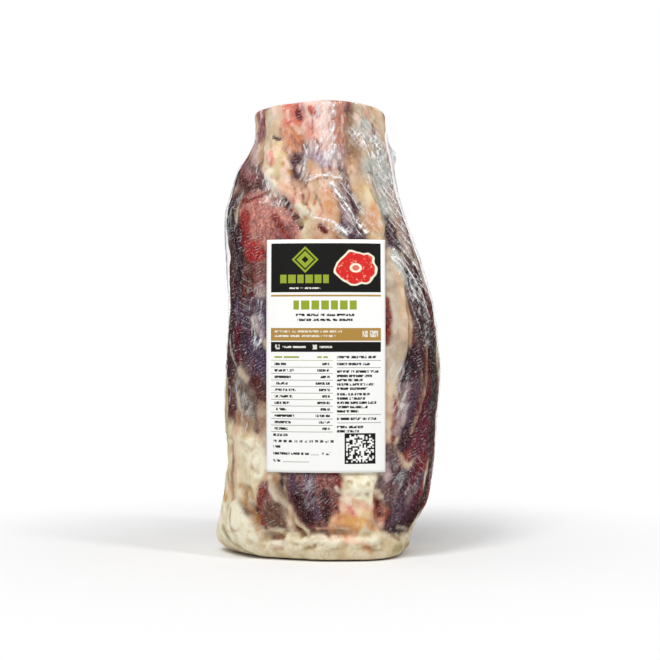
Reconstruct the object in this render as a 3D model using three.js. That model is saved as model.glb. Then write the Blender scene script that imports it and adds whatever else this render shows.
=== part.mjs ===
// A raw beef shank, sawn off square at both ends, wrapped tight in clear film and standing on its wide end.
// Four solids: the wrapped shank, the bone that runs through it, the marrow in the bone and the label on the film.
// Millimetres, +Z up along the shank, the label facing -Y. The origin is on the floor, under the middle of the pack.
//
// A place on the pack is a turn and a height. The turn is 0 at the front (-Y), 90 at the right (+X), 180 behind.

import * as THREE from "three";

const HEIGHT = 285;
const FOOT_ROUND = 6.5;
const TOP_ROUND = 3.5;
const FIT_GAP = 0.35; // between pieces that touch

// How far the pack reaches from its upright axis, as [height, reach].
const REACH = {
  left: [
    [0, 68.5], [10, 72], [25, 70], [41, 67.4], [60, 65.4], [87, 67.3], [118, 66.7], [150, 65],
    [185, 66.2], [215, 67.2], [229, 63.6], [243, 59.4], [257, 51.8], [266, 48.8], [285, 48.4],
  ],
  right: [
    [0, 49], [10, 50.2], [18, 54.4], [33, 63.5], [56, 66.7], [87, 68.7], [110, 71.2], [134, 69.4],
    [165, 65], [196, 55], [227, 44.7], [250, 40], [266, 37.2], [285, 36],
  ],
  front: [[0, 51], [20, 51], [60, 52], [110, 53.5], [160, 52], [200, 46.5], [235, 42], [262, 40], [285, 40]],
  back: [[0, 48], [25, 52], [70, 57], [115, 58], [160, 53], [200, 45], [235, 38.5], [262, 35], [285, 34]],
};

// How square the section is in front on each side, as [height, power], and behind. An ellipse has 2, a box more.
const BACK_POWER = 2.2;
const POWER = {
  left: [[0, 1.6], [30, 2.3], [50, 2.35], [235, 2.35], [285, 1.7]],
  right: [[0, 3.2], [20, 2.4], [50, 2.35], [235, 2.35], [285, 1.8]],
};

// How the sawn top falls off to either side, as [across, fall], and the height from which the sides follow it.
const TOP_LINE = [[-48, -1.6], [-30, -1], [-12, -0.1], [0, 0], [12, -0.1], [24, -1], [38, -2]];
const TOP_LINE_START = 240;

// The photograph's eye point, which sightings are taken from.
const EYE_DISTANCE = 950;
const EYE_HEIGHT = 142;

const LABEL = { left: -38.6, right: 33.9, bottom: 54.8, top: 197.6, thick: 0.4 };
const SEAT_FLAT = 7; // how far past the label's edge the film stays smooth
const SEAT_FADE = 8; // over which the muscles then rise to their full height

// Forms that stand out of the pack or sink into it. A path is a list of sightings [across, height], in millimetres
// on the upright plane through the axis, seen from the azimuth in from: 0 is the front, 90 the right, 180 the back.
const FORMS = [
  { name: "outer calf muscle", from: 0, path: [[53, 30], [58, 71], [57, 110], [49, 142]], width: 21, rise: 3 },
  { name: "long tendon", from: 0, path: [[43, 190], [43.5, 142], [41, 84]], width: 8, rise: 1.8 },
  { name: "seam behind the tendon", from: 0, path: [[51, 168], [52, 129], [46, 97]], width: 6, rise: -2 },
  { name: "dark front muscle", from: 0, path: [[-12, 44], [-11, 22]], width: 19, rise: 3.4 },
  { name: "red front muscle", from: 0, path: [[-37, 38], [-42, 14]], width: 9, rise: 3.2 },
  { name: "tendon fork", from: 0, path: [[-36, 44], [-27, 28], [-18, 10]], width: 6, rise: -2.6 },
  { name: "seam over the foot fat", from: 0, path: [[-40, 8], [-16, 11], [8, 11], [24, 10]], width: 6, rise: -3 },
  { name: "left fat fold", from: 0, path: [[-58, 74], [-56, 36], [-60, 8]], width: 13, rise: 2.4 },
  { name: "crease in the fat", from: 0, path: [[-53, 38], [-47, 20], [-40, 10]], width: 6, rise: -3 },
  { name: "cream fat lump", from: 0, path: [[18, 46], [20, 26], [22, 12]], width: 12, rise: 3 },
  { name: "seam beside the lump", from: 0, path: [[34, 50], [31, 28], [30, 12]], width: 6, rise: -2.6 },
  { name: "upper left muscle", from: 0, path: [[-44, 222], [-47, 194], [-52, 161]], width: 15, rise: 3.6 },
  { name: "seam under the knuckle", from: 0, path: [[-46, 238], [-30, 224], [-20, 214]], width: 7, rise: -3.4 },
  { name: "left knuckle", from: 0, path: [[-36, 280], [-34, 250], [-33, 234]], width: 13, rise: 3 },
  { name: "groove left of the middle", from: 0, path: [[-19, 284], [-20, 236]], width: 7, rise: -2.8 },
  { name: "middle column", from: 0, path: [[-1, 284], [0, 250], [-2, 222]], width: 14, rise: 1.8 },
  { name: "groove right of the middle", from: 0, path: [[14, 284], [16, 240], [22, 206]], width: 7, rise: -3 },
  { name: "tan tendon", from: 0, path: [[20, 262], [27, 226], [34, 200]], width: 7, rise: 2.6 },
  { name: "right knuckle", from: 0, path: [[32, 281], [34, 258]], width: 9, rise: 2 },
  { name: "fin of loose film", from: 0, path: [[40.5, 257], [40, 253]], width: 7, rise: 3.2 },
  { name: "left calf head", from: 180, path: [[26, 34], [30, 90], [26, 150], [12, 205]], width: 26, rise: 4.4 },
  { name: "right calf head", from: 180, path: [[-32, 24], [-34, 90], [-28, 150], [-10, 205]], width: 27, rise: 4.4 },
  { name: "seam between the heads", from: 180, path: [[-2, 14], [-3, 90], [-2, 160]], width: 9, rise: -4.4 },
  { name: "heel tendon", from: 180, path: [[1, 196], [-1, 240], [-2, 284]], width: 10, rise: 3.6 },
  { name: "seam left of the heel", from: 180, path: [[17, 226], [15, 262], [15, 284]], width: 7, rise: -3 },
  { name: "seam right of the heel", from: 180, path: [[-19, 222], [-18, 258], [-17, 284]], width: 7, rise: -3 },
  { name: "right flank muscle", from: 90, path: [[20, 210], [19, 150], [17, 90], [16, 44]], width: 17, rise: 2.6 },
  { name: "right flank seam", from: 90, path: [[38, 190], [37, 120], [35, 40]], width: 8, rise: -3 },
  { name: "left flank muscle", from: 270, path: [[-19, 216], [-17, 160], [-17, 110]], width: 17, rise: 2.6 },
  { name: "left flank seam", from: 270, path: [[-37, 216], [-36, 150], [-35, 60]], width: 8, rise: -3 },
];

// The shin bone: a tapered tube whose section is slightly three-sided, as [height, radius].
const BONE_AXIS = { x: -5, y: 3 };
const BONE_OUTSIDE = [[0, 27], [30, 23.5], [80, 18], [180, 16.5], [240, 18], [285, 21]];
const BONE_INSIDE = [[0, 15], [30, 13], [80, 10], [180, 9], [240, 10], [285, 12]];
const BONE_LOBES = 0.07; // how far the three rounded edges stand out, as a share of the radius
const END_STEP = 0.6; // the bone and marrow end this far inside the shank's sawn faces

const AROUND_SHANK = 84;
const SIDE_ROWS = 33;
const ROUND_ROWS = 3;
const TOP_RINGS = 3;
const BORE_ROWS = 6;
const AROUND_BONE = 36;
const BONE_ROWS = 8;
const LABEL_COLUMNS = 12;
const LABEL_ROWS = 20;

const DEGREE = Math.PI / 180;

// A smooth curve through [place, value] stations, read at a place: cubic pieces with the slopes of the neighbours.
function readCurve(stations, place) {
  const last = stations.length - 1;
  if (place <= stations[0][0]) return stations[0][1];
  if (place >= stations[last][0]) return stations[last][1];
  const i = stations.findIndex(([p]) => p > place) - 1;
  const slope = (k) => {
    const [p0, v0] = stations[Math.max(k - 1, 0)];
    const [p1, v1] = stations[Math.min(k + 1, last)];
    return (v1 - v0) / (p1 - p0);
  };
  const [start, from] = stations[i];
  const [end, to] = stations[i + 1];
  const step = end - start;
  const s = (place - start) / step;
  const rest = 1 - s;
  return (
    rest * rest * (1 + 2 * s) * from + s * s * (3 - 2 * s) * to +
    step * s * rest * (rest * slope(i) - s * slope(i + 1))
  );
}

function smoothStep(share) {
  const t = Math.min(1, Math.max(0, share));
  return t * t * (3 - 2 * t);
}

// The reach and the front section's power on the side that a place across lies on.
function sideOf(across, height) {
  const side = across < 0 ? "left" : "right";
  return { sideways: readCurve(REACH[side], height), power: readCurve(POWER[side], height) };
}

// The distance from the axis to the plain form, before any muscle or seam.
function plainRadius(turn, height) {
  const across = Math.sin(turn * DEGREE);
  const ahead = Math.cos(turn * DEGREE);
  const { sideways, power: frontPower } = sideOf(across, height);
  const lengthways = readCurve(ahead > 0 ? REACH.front : REACH.back, height);
  const power = ahead > 0 ? frontPower : BACK_POWER;
  return (Math.abs(across / sideways) ** power + Math.abs(ahead / lengthways) ** power) ** (-1 / power);
}

// The turn and height of the plain form's point that a sighting meets, found by halving along the line of sight.
function sighted(azimuth, across, height) {
  const angle = azimuth * DEGREE;
  const right = [Math.cos(angle), Math.sin(angle)];
  const near = [Math.sin(angle), -Math.cos(angle)];
  const at = (closer) => {
    const share = 1 - closer / EYE_DISTANCE;
    const x = right[0] * across * share + near[0] * closer;
    const y = right[1] * across * share + near[1] * closer;
    const z = EYE_HEIGHT + (height - EYE_HEIGHT) * share;
    return { x, y, z, turn: Math.atan2(x, -y) / DEGREE };
  };
  let inside = 0;
  let outside = 90;
  for (let i = 0; i < 24; i++) {
    const middle = (inside + outside) / 2;
    const p = at(middle);
    if (Math.hypot(p.x, p.y) < plainRadius(p.turn, p.z)) inside = middle;
    else outside = middle;
  }
  return at(inside);
}

function wrapTurn(turn) {
  return ((((turn + 180) % 360) + 360) % 360) - 180;
}

// Each form's path as points on the plain form. Turns run on from the first one, with no jump behind the pack.
const paths = FORMS.map((form) => {
  const points = form.path.map(([across, height]) => sighted(form.from, across, height));
  const start = points[0].turn;
  return { ...form, start, points: points.map(({ turn, z }) => ({ ahead: wrapTurn(turn - start), z })) };
});

// The nearest distance over the surface from a place to a path, with turns measured as arcs at that height.
function distanceToPath({ start, points }, turn, height, radius) {
  const toStart = wrapTurn(start - turn);
  const flat = points.map(({ ahead, z }) => [(toStart + ahead) * DEGREE * radius, z - height]);
  let nearest = Infinity;
  for (let i = 0; i + 1 < flat.length; i++) {
    const [ax, az] = flat[i];
    const dx = flat[i + 1][0] - ax;
    const dz = flat[i + 1][1] - az;
    const t = Math.min(1, Math.max(0, -(ax * dx + az * dz) / (dx * dx + dz * dz)));
    nearest = Math.min(nearest, Math.hypot(ax + dx * t, az + dz * t));
  }
  return nearest;
}

// 1 well away from the label and 0 under it, so that the film lies smooth where the label is stuck.
function awayFromLabel(turn, height, radius) {
  if (Math.cos(turn * DEGREE) < 0) return 1;
  const across = radius * Math.sin(turn * DEGREE);
  const outX = Math.max(LABEL.left - across, across - LABEL.right, 0);
  const outZ = Math.max(LABEL.bottom - height, height - LABEL.top, 0);
  return smoothStep((Math.hypot(outX, outZ) - SEAT_FLAT) / SEAT_FADE);
}

// The distance from the axis to the pack: the plain form with each muscle, tendon and seam added.
function packRadius(turn, height) {
  const plain = plainRadius(turn, height);
  let relief = 0;
  for (const path of paths) {
    const d = distanceToPath(path, turn, height, plain) / path.width;
    if (d < 1) relief += path.rise * (1 - d * d) ** 2;
  }
  return plain + relief * awayFromLabel(turn, height, plain);
}

// A closed skin over rows of points, each row running once round. A ring of rows closes on itself; a stack of rows
// that isn't a ring is closed by a fan at each end.
function skin(rows, isRing) {
  const count = rows[0].length;
  const points = rows.flat();
  const faces = [];
  const last = isRing ? rows.length : rows.length - 1;
  for (let j = 0; j < last; j++) {
    const low = j * count;
    const high = ((j + 1) % rows.length) * count;
    for (let i = 0; i < count; i++) {
      const k = (i + 1) % count;
      faces.push(low + i, low + k, high + k, low + i, high + k, high + i);
    }
  }
  if (!isRing) closeEnds(rows, points, faces);
  const geometry = new THREE.BufferGeometry();
  geometry.setAttribute("position", new THREE.Float32BufferAttribute(points.flat(), 3));
  geometry.setIndex(faces);
  geometry.computeVertexNormals();
  return geometry;
}

function closeEnds(rows, points, faces) {
  const count = rows[0].length;
  const middleOf = (row) => [0, 1, 2].map((axis) => row.reduce((sum, p) => sum + p[axis], 0) / count);
  const low = points.push(middleOf(rows[0])) - 1;
  const high = points.push(middleOf(rows[rows.length - 1])) - 1;
  const top = (rows.length - 1) * count;
  for (let i = 0; i < count; i++) {
    const k = (i + 1) % count;
    faces.push(low, k, i, high, top + i, top + k);
  }
}

// A row of points round the axis, counter-clockwise seen from above, at places that a function of the turn gives.
function rowAround(count, place) {
  return Array.from({ length: count }, (_, i) => place((i / count) * 360));
}

// A point on the pack. Near the top, its height falls off with the sawn face's own line.
function packPoint(turn, height, inset) {
  const radius = packRadius(turn, height) - inset;
  const across = radius * Math.sin(turn * DEGREE);
  const share = smoothStep((height - TOP_LINE_START) / (HEIGHT - TOP_LINE_START));
  return [across, -radius * Math.cos(turn * DEGREE), height + readCurve(TOP_LINE, across) * share];
}

// A point on a tube about the bone's axis, its radius read from a curve, made slightly three-sided, plus a gap.
function bonePoint(curve, turn, height, gap) {
  const radius = readCurve(curve, height) * (1 + BONE_LOBES * Math.cos(3 * turn * DEGREE)) + gap;
  return [
    BONE_AXIS.x + radius * Math.sin(turn * DEGREE),
    BONE_AXIS.y - radius * Math.cos(turn * DEGREE),
    height,
  ];
}

function blendPoints(a, b, share) {
  return a.map((value, axis) => value + (b[axis] - value) * share);
}

// The wrapped shank: up the outside with its rounded edges, in over the sawn top, and down the bore round the bone.
function shankGeometry() {
  const bore = (height) => (turn) => bonePoint(BONE_OUTSIDE, turn, height, FIT_GAP);
  const rows = [];
  const addRow = (place) => rows.push(rowAround(AROUND_SHANK, place));
  const addRounded = (k, round, isTop) => {
    const angle = (k / ROUND_ROWS) * 90 * DEGREE;
    const lift = round * (1 - Math.cos(angle));
    const inset = round * (1 - Math.sin(angle));
    const height = isTop ? HEIGHT - lift : lift;
    addRow((turn) => packPoint(turn, height, inset));
  };
  for (let k = 0; k <= ROUND_ROWS; k++) addRounded(k, FOOT_ROUND, false);
  for (let k = 1; k < SIDE_ROWS; k++) {
    const height = FOOT_ROUND + ((HEIGHT - FOOT_ROUND - TOP_ROUND) * k) / SIDE_ROWS;
    addRow((turn) => packPoint(turn, height, 0));
  }
  for (let k = ROUND_ROWS; k >= 0; k--) addRounded(k, TOP_ROUND, true);
  for (let k = 1; k < TOP_RINGS; k++) {
    const rim = (turn) => packPoint(turn, HEIGHT, TOP_ROUND);
    addRow((turn) => blendPoints(rim(turn), bore(HEIGHT)(turn), k / TOP_RINGS));
  }
  for (let k = 0; k <= BORE_ROWS; k++) addRow(bore(HEIGHT * (1 - k / BORE_ROWS)));
  return skin(rows, true);
}

// The bone: up its outside, over the sawn end and down the marrow canal.
function boneGeometry() {
  const rows = [];
  const heightAt = (k) => END_STEP + ((HEIGHT - 2 * END_STEP) * k) / BONE_ROWS;
  for (let k = 0; k <= BONE_ROWS; k++) {
    rows.push(rowAround(AROUND_BONE, (turn) => bonePoint(BONE_OUTSIDE, turn, heightAt(k), 0)));
  }
  for (let k = BONE_ROWS; k >= 0; k--) {
    rows.push(rowAround(AROUND_BONE, (turn) => bonePoint(BONE_INSIDE, turn, heightAt(k), 0)));
  }
  return skin(rows, true);
}

function marrowGeometry() {
  const rows = [];
  for (let k = 0; k <= BONE_ROWS; k++) {
    const height = 2 * END_STEP + ((HEIGHT - 4 * END_STEP) * k) / BONE_ROWS;
    rows.push(rowAround(AROUND_BONE, (turn) => bonePoint(BONE_INSIDE, turn, height, -FIT_GAP)));
  }
  return skin(rows, false);
}

// A point over the pack's plain front, at a place across and up, lifted off it along the surface's own normal.
function frontPoint(across, height, lift) {
  const depth = (x, z) => {
    const { sideways, power } = sideOf(x, z);
    return readCurve(REACH.front, z) * (1 - Math.abs(x / sideways) ** power) ** (1 / power);
  };
  const step = 0.5;
  const slopeX = (depth(across + step, height) - depth(across - step, height)) / (2 * step);
  const slopeZ = (depth(across, height + step) - depth(across, height - step)) / (2 * step);
  const length = Math.hypot(slopeX, 1, slopeZ);
  return [
    across - (lift * slopeX) / length,
    -depth(across, height) - lift / length,
    height - (lift * slopeZ) / length,
  ];
}

// The label: a sheet over the pack's front. Each row runs round the sheet's thickness, face first and back second.
function labelGeometry() {
  const rows = [];
  for (let j = 0; j <= LABEL_ROWS; j++) {
    const height = LABEL.bottom + ((LABEL.top - LABEL.bottom) * j) / LABEL_ROWS;
    const acrossAt = (i) => LABEL.left + ((LABEL.right - LABEL.left) * i) / LABEL_COLUMNS;
    const row = [];
    for (let i = 0; i <= LABEL_COLUMNS; i++) row.push(frontPoint(acrossAt(i), height, FIT_GAP + LABEL.thick));
    for (let i = LABEL_COLUMNS; i >= 0; i--) row.push(frontPoint(acrossAt(i), height, FIT_GAP));
    rows.push(row);
  }
  return sheetSkin(rows);
}

// Closes a stack of flat rows, each a front run and a back run, with straight strips at its two ends.
function sheetSkin(rows) {
  const geometry = skin(rows, true);
  const count = rows[0].length;
  const faces = Array.from(geometry.index.array);
  faces.length -= count * 6; // the strip that would join the last row to the first
  const addEnd = (base, flip) => {
    for (let i = 0; i + 1 < count / 2; i++) {
      const [a, b, c, d] = [base + i, base + i + 1, base + count - 2 - i, base + count - 1 - i];
      faces.push(...(flip ? [a, c, b, a, d, c] : [a, b, c, a, c, d]));
    }
  };
  addEnd(0, true);
  addEnd((rows.length - 1) * count, false);
  geometry.setIndex(faces);
  geometry.computeVertexNormals();
  return geometry;
}

function addPiece(group, name, geometry, colour, roughness) {
  const material = new THREE.MeshStandardMaterial({ color: colour, roughness, metalness: 0 });
  const mesh = new THREE.Mesh(geometry, material);
  mesh.name = name;
  group.add(mesh);
}

const shank = new THREE.Group();
addPiece(shank, "wrapped_shank", shankGeometry(), 0x8a5552, 0.3);
addPiece(shank, "bone", boneGeometry(), 0xe6d9c4, 0.55);
addPiece(shank, "marrow", marrowGeometry(), 0xdba98f, 0.45);
addPiece(shank, "label", labelGeometry(), 0xfbfbf8, 0.4);

// The pack's box is brought over the origin, so that the axes run through its middle.
const box = new THREE.Box3().setFromObject(shank);
const middle = box.getCenter(new THREE.Vector3());
for (const piece of shank.children) piece.position.set(-middle.x, -middle.y, 0);

export default shank;
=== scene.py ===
# %% [markdown]
# # A raw beef shank wrapped in clear film
#
# The real thing is a length of shin, sawn off square at both ends: muscles that run lengthwise round one
# bone, with fat, pale tendons and silvery skin between them. A clear stretch film is pulled tight round it,
# and a printed paper label is stuck on the film. We build the meat, its bone and marrow, the film and the
# label as separate surfaces, so that light passes through the film and falls on real meat.

import bpy
import numpy as np
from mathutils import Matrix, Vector


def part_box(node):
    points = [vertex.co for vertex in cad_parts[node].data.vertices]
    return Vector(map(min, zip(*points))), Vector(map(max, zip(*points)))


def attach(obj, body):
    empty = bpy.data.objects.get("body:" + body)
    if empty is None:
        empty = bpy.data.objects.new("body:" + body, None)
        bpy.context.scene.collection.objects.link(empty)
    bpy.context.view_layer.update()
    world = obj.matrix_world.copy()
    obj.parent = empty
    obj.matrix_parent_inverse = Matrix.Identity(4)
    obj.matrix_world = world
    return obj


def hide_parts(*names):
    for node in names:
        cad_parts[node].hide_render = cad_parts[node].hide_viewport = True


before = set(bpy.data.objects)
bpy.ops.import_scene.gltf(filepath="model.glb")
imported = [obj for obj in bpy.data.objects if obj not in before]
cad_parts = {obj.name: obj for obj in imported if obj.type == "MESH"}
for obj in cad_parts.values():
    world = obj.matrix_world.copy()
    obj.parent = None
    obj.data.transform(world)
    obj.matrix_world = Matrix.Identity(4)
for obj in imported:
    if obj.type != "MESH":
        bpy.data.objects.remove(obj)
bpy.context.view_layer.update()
MM = 0.001  # sizes below are in millimetres, and Blender works in metres

# %% [markdown]
# ## Camera
#
# The ends of the shank look slightly rounded in the picture although they are flat cuts. That is
# perspective: the near rims lie 50 mm closer than the outline, and they stand out by 11 parts in 220, so
# the lens is about 950 mm away, level with the middle. The lens is then set so that the shank fills the
# picture as it should.

# %% Camera
EYE_DISTANCE = 950
EYE_HEIGHT = 142
PICTURE_WIDTH = 427.7  # how much of the upright plane through the shank's axis the picture spans
SENSOR = 36

camera = bpy.data.objects.new("camera", bpy.data.cameras.new("camera"))
bpy.context.scene.collection.objects.link(camera)
camera.data.sensor_width = SENSOR
camera.data.lens = SENSOR * EYE_DISTANCE / PICTURE_WIDTH
camera.location = (0, -EYE_DISTANCE * MM, EYE_HEIGHT * MM)
camera.rotation_euler = (np.pi / 2, 0, 0)
bpy.context.scene.camera = camera
print("lens", round(camera.data.lens, 1), "mm")

# %% [markdown]
# ## The form
#
# A place on the shank is a turn and a height. The turn is 0 at the front, 90 at the right and 180 behind.
# At each height the section is a superellipse: a rounded box between an ellipse and a rectangle, with its
# own reach to the left, right, front and back. The reaches are smooth curves through a few heights.

# %% Reaches of the form
HEIGHT = 285
FOOT_ROUND = 6.5
TOP_ROUND = 3.5
LEFT_REACH = [
    (0, 68.5), (10, 72), (25, 70), (41, 67.4), (60, 65.4), (87, 67.3), (118, 66.7), (150, 65),
    (185, 66.2), (215, 67.2), (229, 63.6), (243, 59.4), (257, 51.8), (266, 48.8), (285, 48.4),
]
RIGHT_REACH = [
    (0, 49), (10, 50.2), (18, 54.4), (33, 63.5), (56, 66.7), (87, 68.7), (110, 71.2), (134, 69.4),
    (165, 65), (196, 55), (227, 44.7), (250, 40), (266, 37.2), (285, 36),
]
FRONT_REACH = [
    (0, 51), (20, 51), (60, 52), (110, 53.5), (160, 52), (200, 46.5), (235, 42), (262, 40), (285, 40),
]
BACK_REACH = [
    (0, 48), (25, 52), (70, 57), (115, 58), (160, 53), (200, 45), (235, 38.5), (262, 35), (285, 34),
]
BACK_POWER = 2.2  # how square the section is. An ellipse has 2, and a box has more
LEFT_POWER = [(0, 1.6), (30, 2.3), (50, 2.35), (235, 2.35), (285, 1.7)]
RIGHT_POWER = [(0, 3.2), (20, 2.4), (50, 2.35), (235, 2.35), (285, 1.8)]
# How the sawn top falls from its middle.
TOP_LINE = [(-48, -1.6), (-30, -1), (-12, -0.1), (0, 0), (12, -0.1), (24, -1), (38, -2)]
TOP_LINE_START = 240  # the height from which the sides follow it
print(len(LEFT_REACH) + len(RIGHT_REACH) + len(FRONT_REACH) + len(BACK_REACH), "stations of reach")

# %% [markdown]
# A smooth curve through the stations gives the reach at any height. The section there is written as a
# radius for each turn, so that relief can simply be added to the radius later.

# %% Curves and sections
def read_curve(stations, place):
    """Cubic pieces through (place, value) stations, each with the slope between its two neighbours."""
    places, values = np.array(stations, float).T
    last = len(places) - 1
    before = np.maximum(np.arange(last + 1) - 1, 0)
    after = np.minimum(np.arange(last + 1) + 1, last)
    slopes = (values[after] - values[before]) / (places[after] - places[before])
    place = np.clip(place, places[0], places[-1])
    i = np.clip(np.searchsorted(places, place, side="right") - 1, 0, last - 1)
    span = places[i + 1] - places[i]
    s = (place - places[i]) / span
    rest = 1 - s
    line = rest**2 * (1 + 2 * s) * values[i] + s**2 * (3 - 2 * s) * values[i + 1]
    return line + span * s * rest * (rest * slopes[i] - s * slopes[i + 1])


def smooth(low, high, value):
    """0 below low, 1 above high, and a smooth slope between."""
    t = np.clip((value - low) / (high - low), 0, 1)
    return t * t * (3 - 2 * t)


def side_of(across, height):
    """The sideways reach and the front section's power, on the side that a place across lies on."""
    is_left = across < 0
    reach = np.where(is_left, read_curve(LEFT_REACH, height), read_curve(RIGHT_REACH, height))
    return reach, np.where(is_left, read_curve(LEFT_POWER, height), read_curve(RIGHT_POWER, height))


def plain_radius(turn, height):
    """Superellipse: (|sin|/side reach)^n + (|cos|/front or back reach)^n = (1/radius)^n."""
    across, ahead = np.sin(np.radians(turn)), np.cos(np.radians(turn))
    side, front_power = side_of(across, height)
    length = np.where(ahead > 0, read_curve(FRONT_REACH, height), read_curve(BACK_REACH, height))
    power = np.where(ahead > 0, front_power, BACK_POWER)
    whole = np.abs(across / side) ** power + np.abs(ahead / length) ** power
    return whole ** (-1 / power)


def top_fall(across, height):
    """How far a point drops, near the top, with the line of the sawn face."""
    return read_curve(TOP_LINE, across) * smooth(TOP_LINE_START, HEIGHT, height)


print("widest", round(float(plain_radius(90, 110) + plain_radius(-90, 110)), 1), "mm")

# %% [markdown]
# ## Sightings
#
# Muscles, seams and stains are easiest to place as they are seen. A sighting is a place across and up on
# the upright plane through the axis, seen from some side: 0 is the front, 90 the right and 180 the back.
# The line of sight is then followed back to where it meets the form, by halving the stretch that holds the
# surface.

# %% Sightings and distances
HALVINGS = 24
OUTERMOST = 90.0  # a radius in millimetres that no part of the shank reaches
FAR, TINY = 1e9, 1e-9


def sighted(azimuth, path):
    """The turns and heights at which sightings (across, height) from an azimuth meet the plain form."""
    across, height = np.array(path, float).T
    angle = np.radians(azimuth)
    right = np.array([np.cos(angle), np.sin(angle)])
    near = np.array([np.sin(angle), -np.cos(angle)])
    inside, outside = np.zeros(len(across)), np.full(len(across), OUTERMOST)

    def at(closer):
        share = 1 - closer / EYE_DISTANCE
        x, y = right[0] * across * share + near[0] * closer, right[1] * across * share + near[1] * closer
        return x, y, EYE_HEIGHT + (height - EYE_HEIGHT) * share

    for _ in range(HALVINGS):
        middle = (inside + outside) / 2
        x, y, z = at(middle)
        within = np.hypot(x, y) < plain_radius(np.degrees(np.arctan2(x, -y)), z)
        inside, outside = np.where(within, middle, inside), np.where(within, outside, middle)
    x, y, z = at(inside)
    return np.unwrap(np.degrees(np.arctan2(x, -y)), period=360), z


def path_distance(points, turn, height, radius):
    """Over the surface, from each place to the nearest stretch of a path. Turns count as arcs there."""
    nearest = np.full(turn.shape, FAR)
    middle = (points[0].min() + points[0].max()) / 2
    ahead = (middle - turn.ravel() + 180) % 360 - 180
    arc = np.radians(ahead + (points[0] - middle)[:, None]) * radius.ravel()
    rise = points[1][:, None] - height.ravel()
    if len(arc) == 1:
        return np.hypot(arc[0], rise[0]).reshape(turn.shape)
    for k in range(len(arc) - 1):
        step_a, step_r = arc[k + 1] - arc[k], rise[k + 1] - rise[k]
        t = np.clip(-(arc[k] * step_a + rise[k] * step_r) / (step_a**2 + step_r**2 + TINY), 0, 1)
        there = np.hypot(arc[k] + step_a * t, rise[k] + step_r * t).reshape(turn.shape)
        nearest = np.minimum(nearest, there)
    return nearest


print("30 mm across and 150 up, from the front:", np.round(sighted(0, [(30, 150)]), 1).ravel())

# %% [markdown]
# ## Clouds
#
# Nothing on meat is even, so borders wander and surfaces are lumpy. A cloud is a smooth random value in
# space: random numbers stand at the corners of a lattice, and each point blends its eight corners. The same
# seed always gives the same cloud.

# %% Clouds
LATTICE = 32


def cloud(points, size, seed, octaves=2):
    """Blended lattice values from -1 to 1. Each octave has half the size and strength of the last."""
    summed, weight = np.zeros(points.shape[:-1]), 0.0
    for octave in range(octaves):
        corners = np.random.default_rng(seed + octave).uniform(-1, 1, (LATTICE,) * 3)
        place = points / (size * 0.5**octave)
        base = np.floor(place).astype(int)
        share = place - base
        share = share * share * (3 - 2 * share)
        value = 0
        for dx, dy, dz in np.ndindex(2, 2, 2):
            x, y, z = ((base[..., axis] + d) % LATTICE for axis, d in enumerate((dx, dy, dz)))
            held = corners[x, y, z]
            for axis, d in enumerate((dx, dy, dz)):
                held = held * (share[..., axis] if d else 1 - share[..., axis])
            value = value + held
        summed += value * 0.5**octave
        weight += 0.5**octave
    return summed / weight


print(LATTICE**3, "corners in the lattice of a cloud")

# %% [markdown]
# ## Large relief
#
# These are the muscles, tendons and seams that show as form through the film. Each follows a path of
# sightings, and rises or sinks as a smooth ridge of its width. Under the label the film is pressed smooth.
#
# A path is written as a row of a table: a name or an azimuth, a half width, a rise, and then the places
# that it goes through, each across and up.

# %% Forms that rise and sink
def read_table(text):
    """Rows of (name or azimuth, path, half width, rise)."""
    rows = []
    for line in text.strip().splitlines():
        first, width, rise, *places = line.split(", ")
        path = [tuple(float(number) for number in place.split()) for place in places]
        rows.append((int(first) if first.isdigit() else first, path, float(width), float(rise)))
    return rows


FORMS = {  # azimuth and a table: name, half width, rise, path
    0: read_table("""
outer calf muscle, 21, 3, 53 30, 58 71, 57 110, 49 142
long tendon, 8, 1.8, 43 190, 43.5 142, 41 84
seam behind the tendon, 6, -2, 51 168, 52 129, 46 97
dark front muscle, 19, 3.4, -12 44, -11 22
red front muscle, 9, 3.2, -37 38, -42 14
tendon fork, 6, -2.6, -36 44, -27 28, -18 10
seam over the foot fat, 6, -3, -40 8, -16 11, 8 11, 24 10
left fat fold, 13, 2.4, -58 74, -56 36, -60 8
crease in the fat, 6, -3, -53 38, -47 20, -40 10
cream fat lump, 12, 3, 18 46, 20 26, 22 12
seam beside the lump, 6, -2.6, 34 50, 31 28, 30 12
upper left muscle, 15, 3.6, -44 222, -47 194, -52 161
seam under the knuckle, 7, -3.4, -46 238, -30 224, -20 214
left knuckle, 13, 3, -36 280, -34 250, -33 234
groove left of the middle, 7, -2.8, -19 284, -20 236
middle column, 14, 1.8, -1 284, 0 250, -2 222
groove right of the middle, 7, -3, 14 284, 16 240, 22 206
tan tendon, 7, 2.6, 20 262, 27 226, 34 200
right knuckle, 9, 2, 32 281, 34 258
fin of loose film, 7, 3.2, 40.5 257, 40 253
"""),
    180: read_table("""
left calf head, 26, 4.4, 26 34, 30 90, 26 150, 12 205
right calf head, 27, 4.4, -32 24, -34 90, -28 150, -10 205
seam between the heads, 9, -4.4, -2 14, -3 90, -2 160
heel tendon, 10, 3.6, 1 196, -1 240, -2 284
seam left of the heel, 7, -3, 17 226, 15 262, 15 284
seam right of the heel, 7, -3, -19 222, -18 258, -17 284
"""),
    90: read_table("""
right flank muscle, 17, 2.6, 20 210, 19 150, 17 90, 16 44
right flank seam, 8, -3, 38 190, 37 120, 35 40
"""),
    270: read_table("""
left flank muscle, 17, 2.6, -19 216, -17 160, -17 110
left flank seam, 8, -3, -37 216, -36 150, -35 60
"""),
}
print(sum(len(rows) for rows in FORMS.values()), "forms rise or sink")

# %% [markdown]
# Each form adds a smooth bump across its path. The label lies on a plain stretch of the front, so the
# relief fades out over a few millimetres round it.

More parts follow.
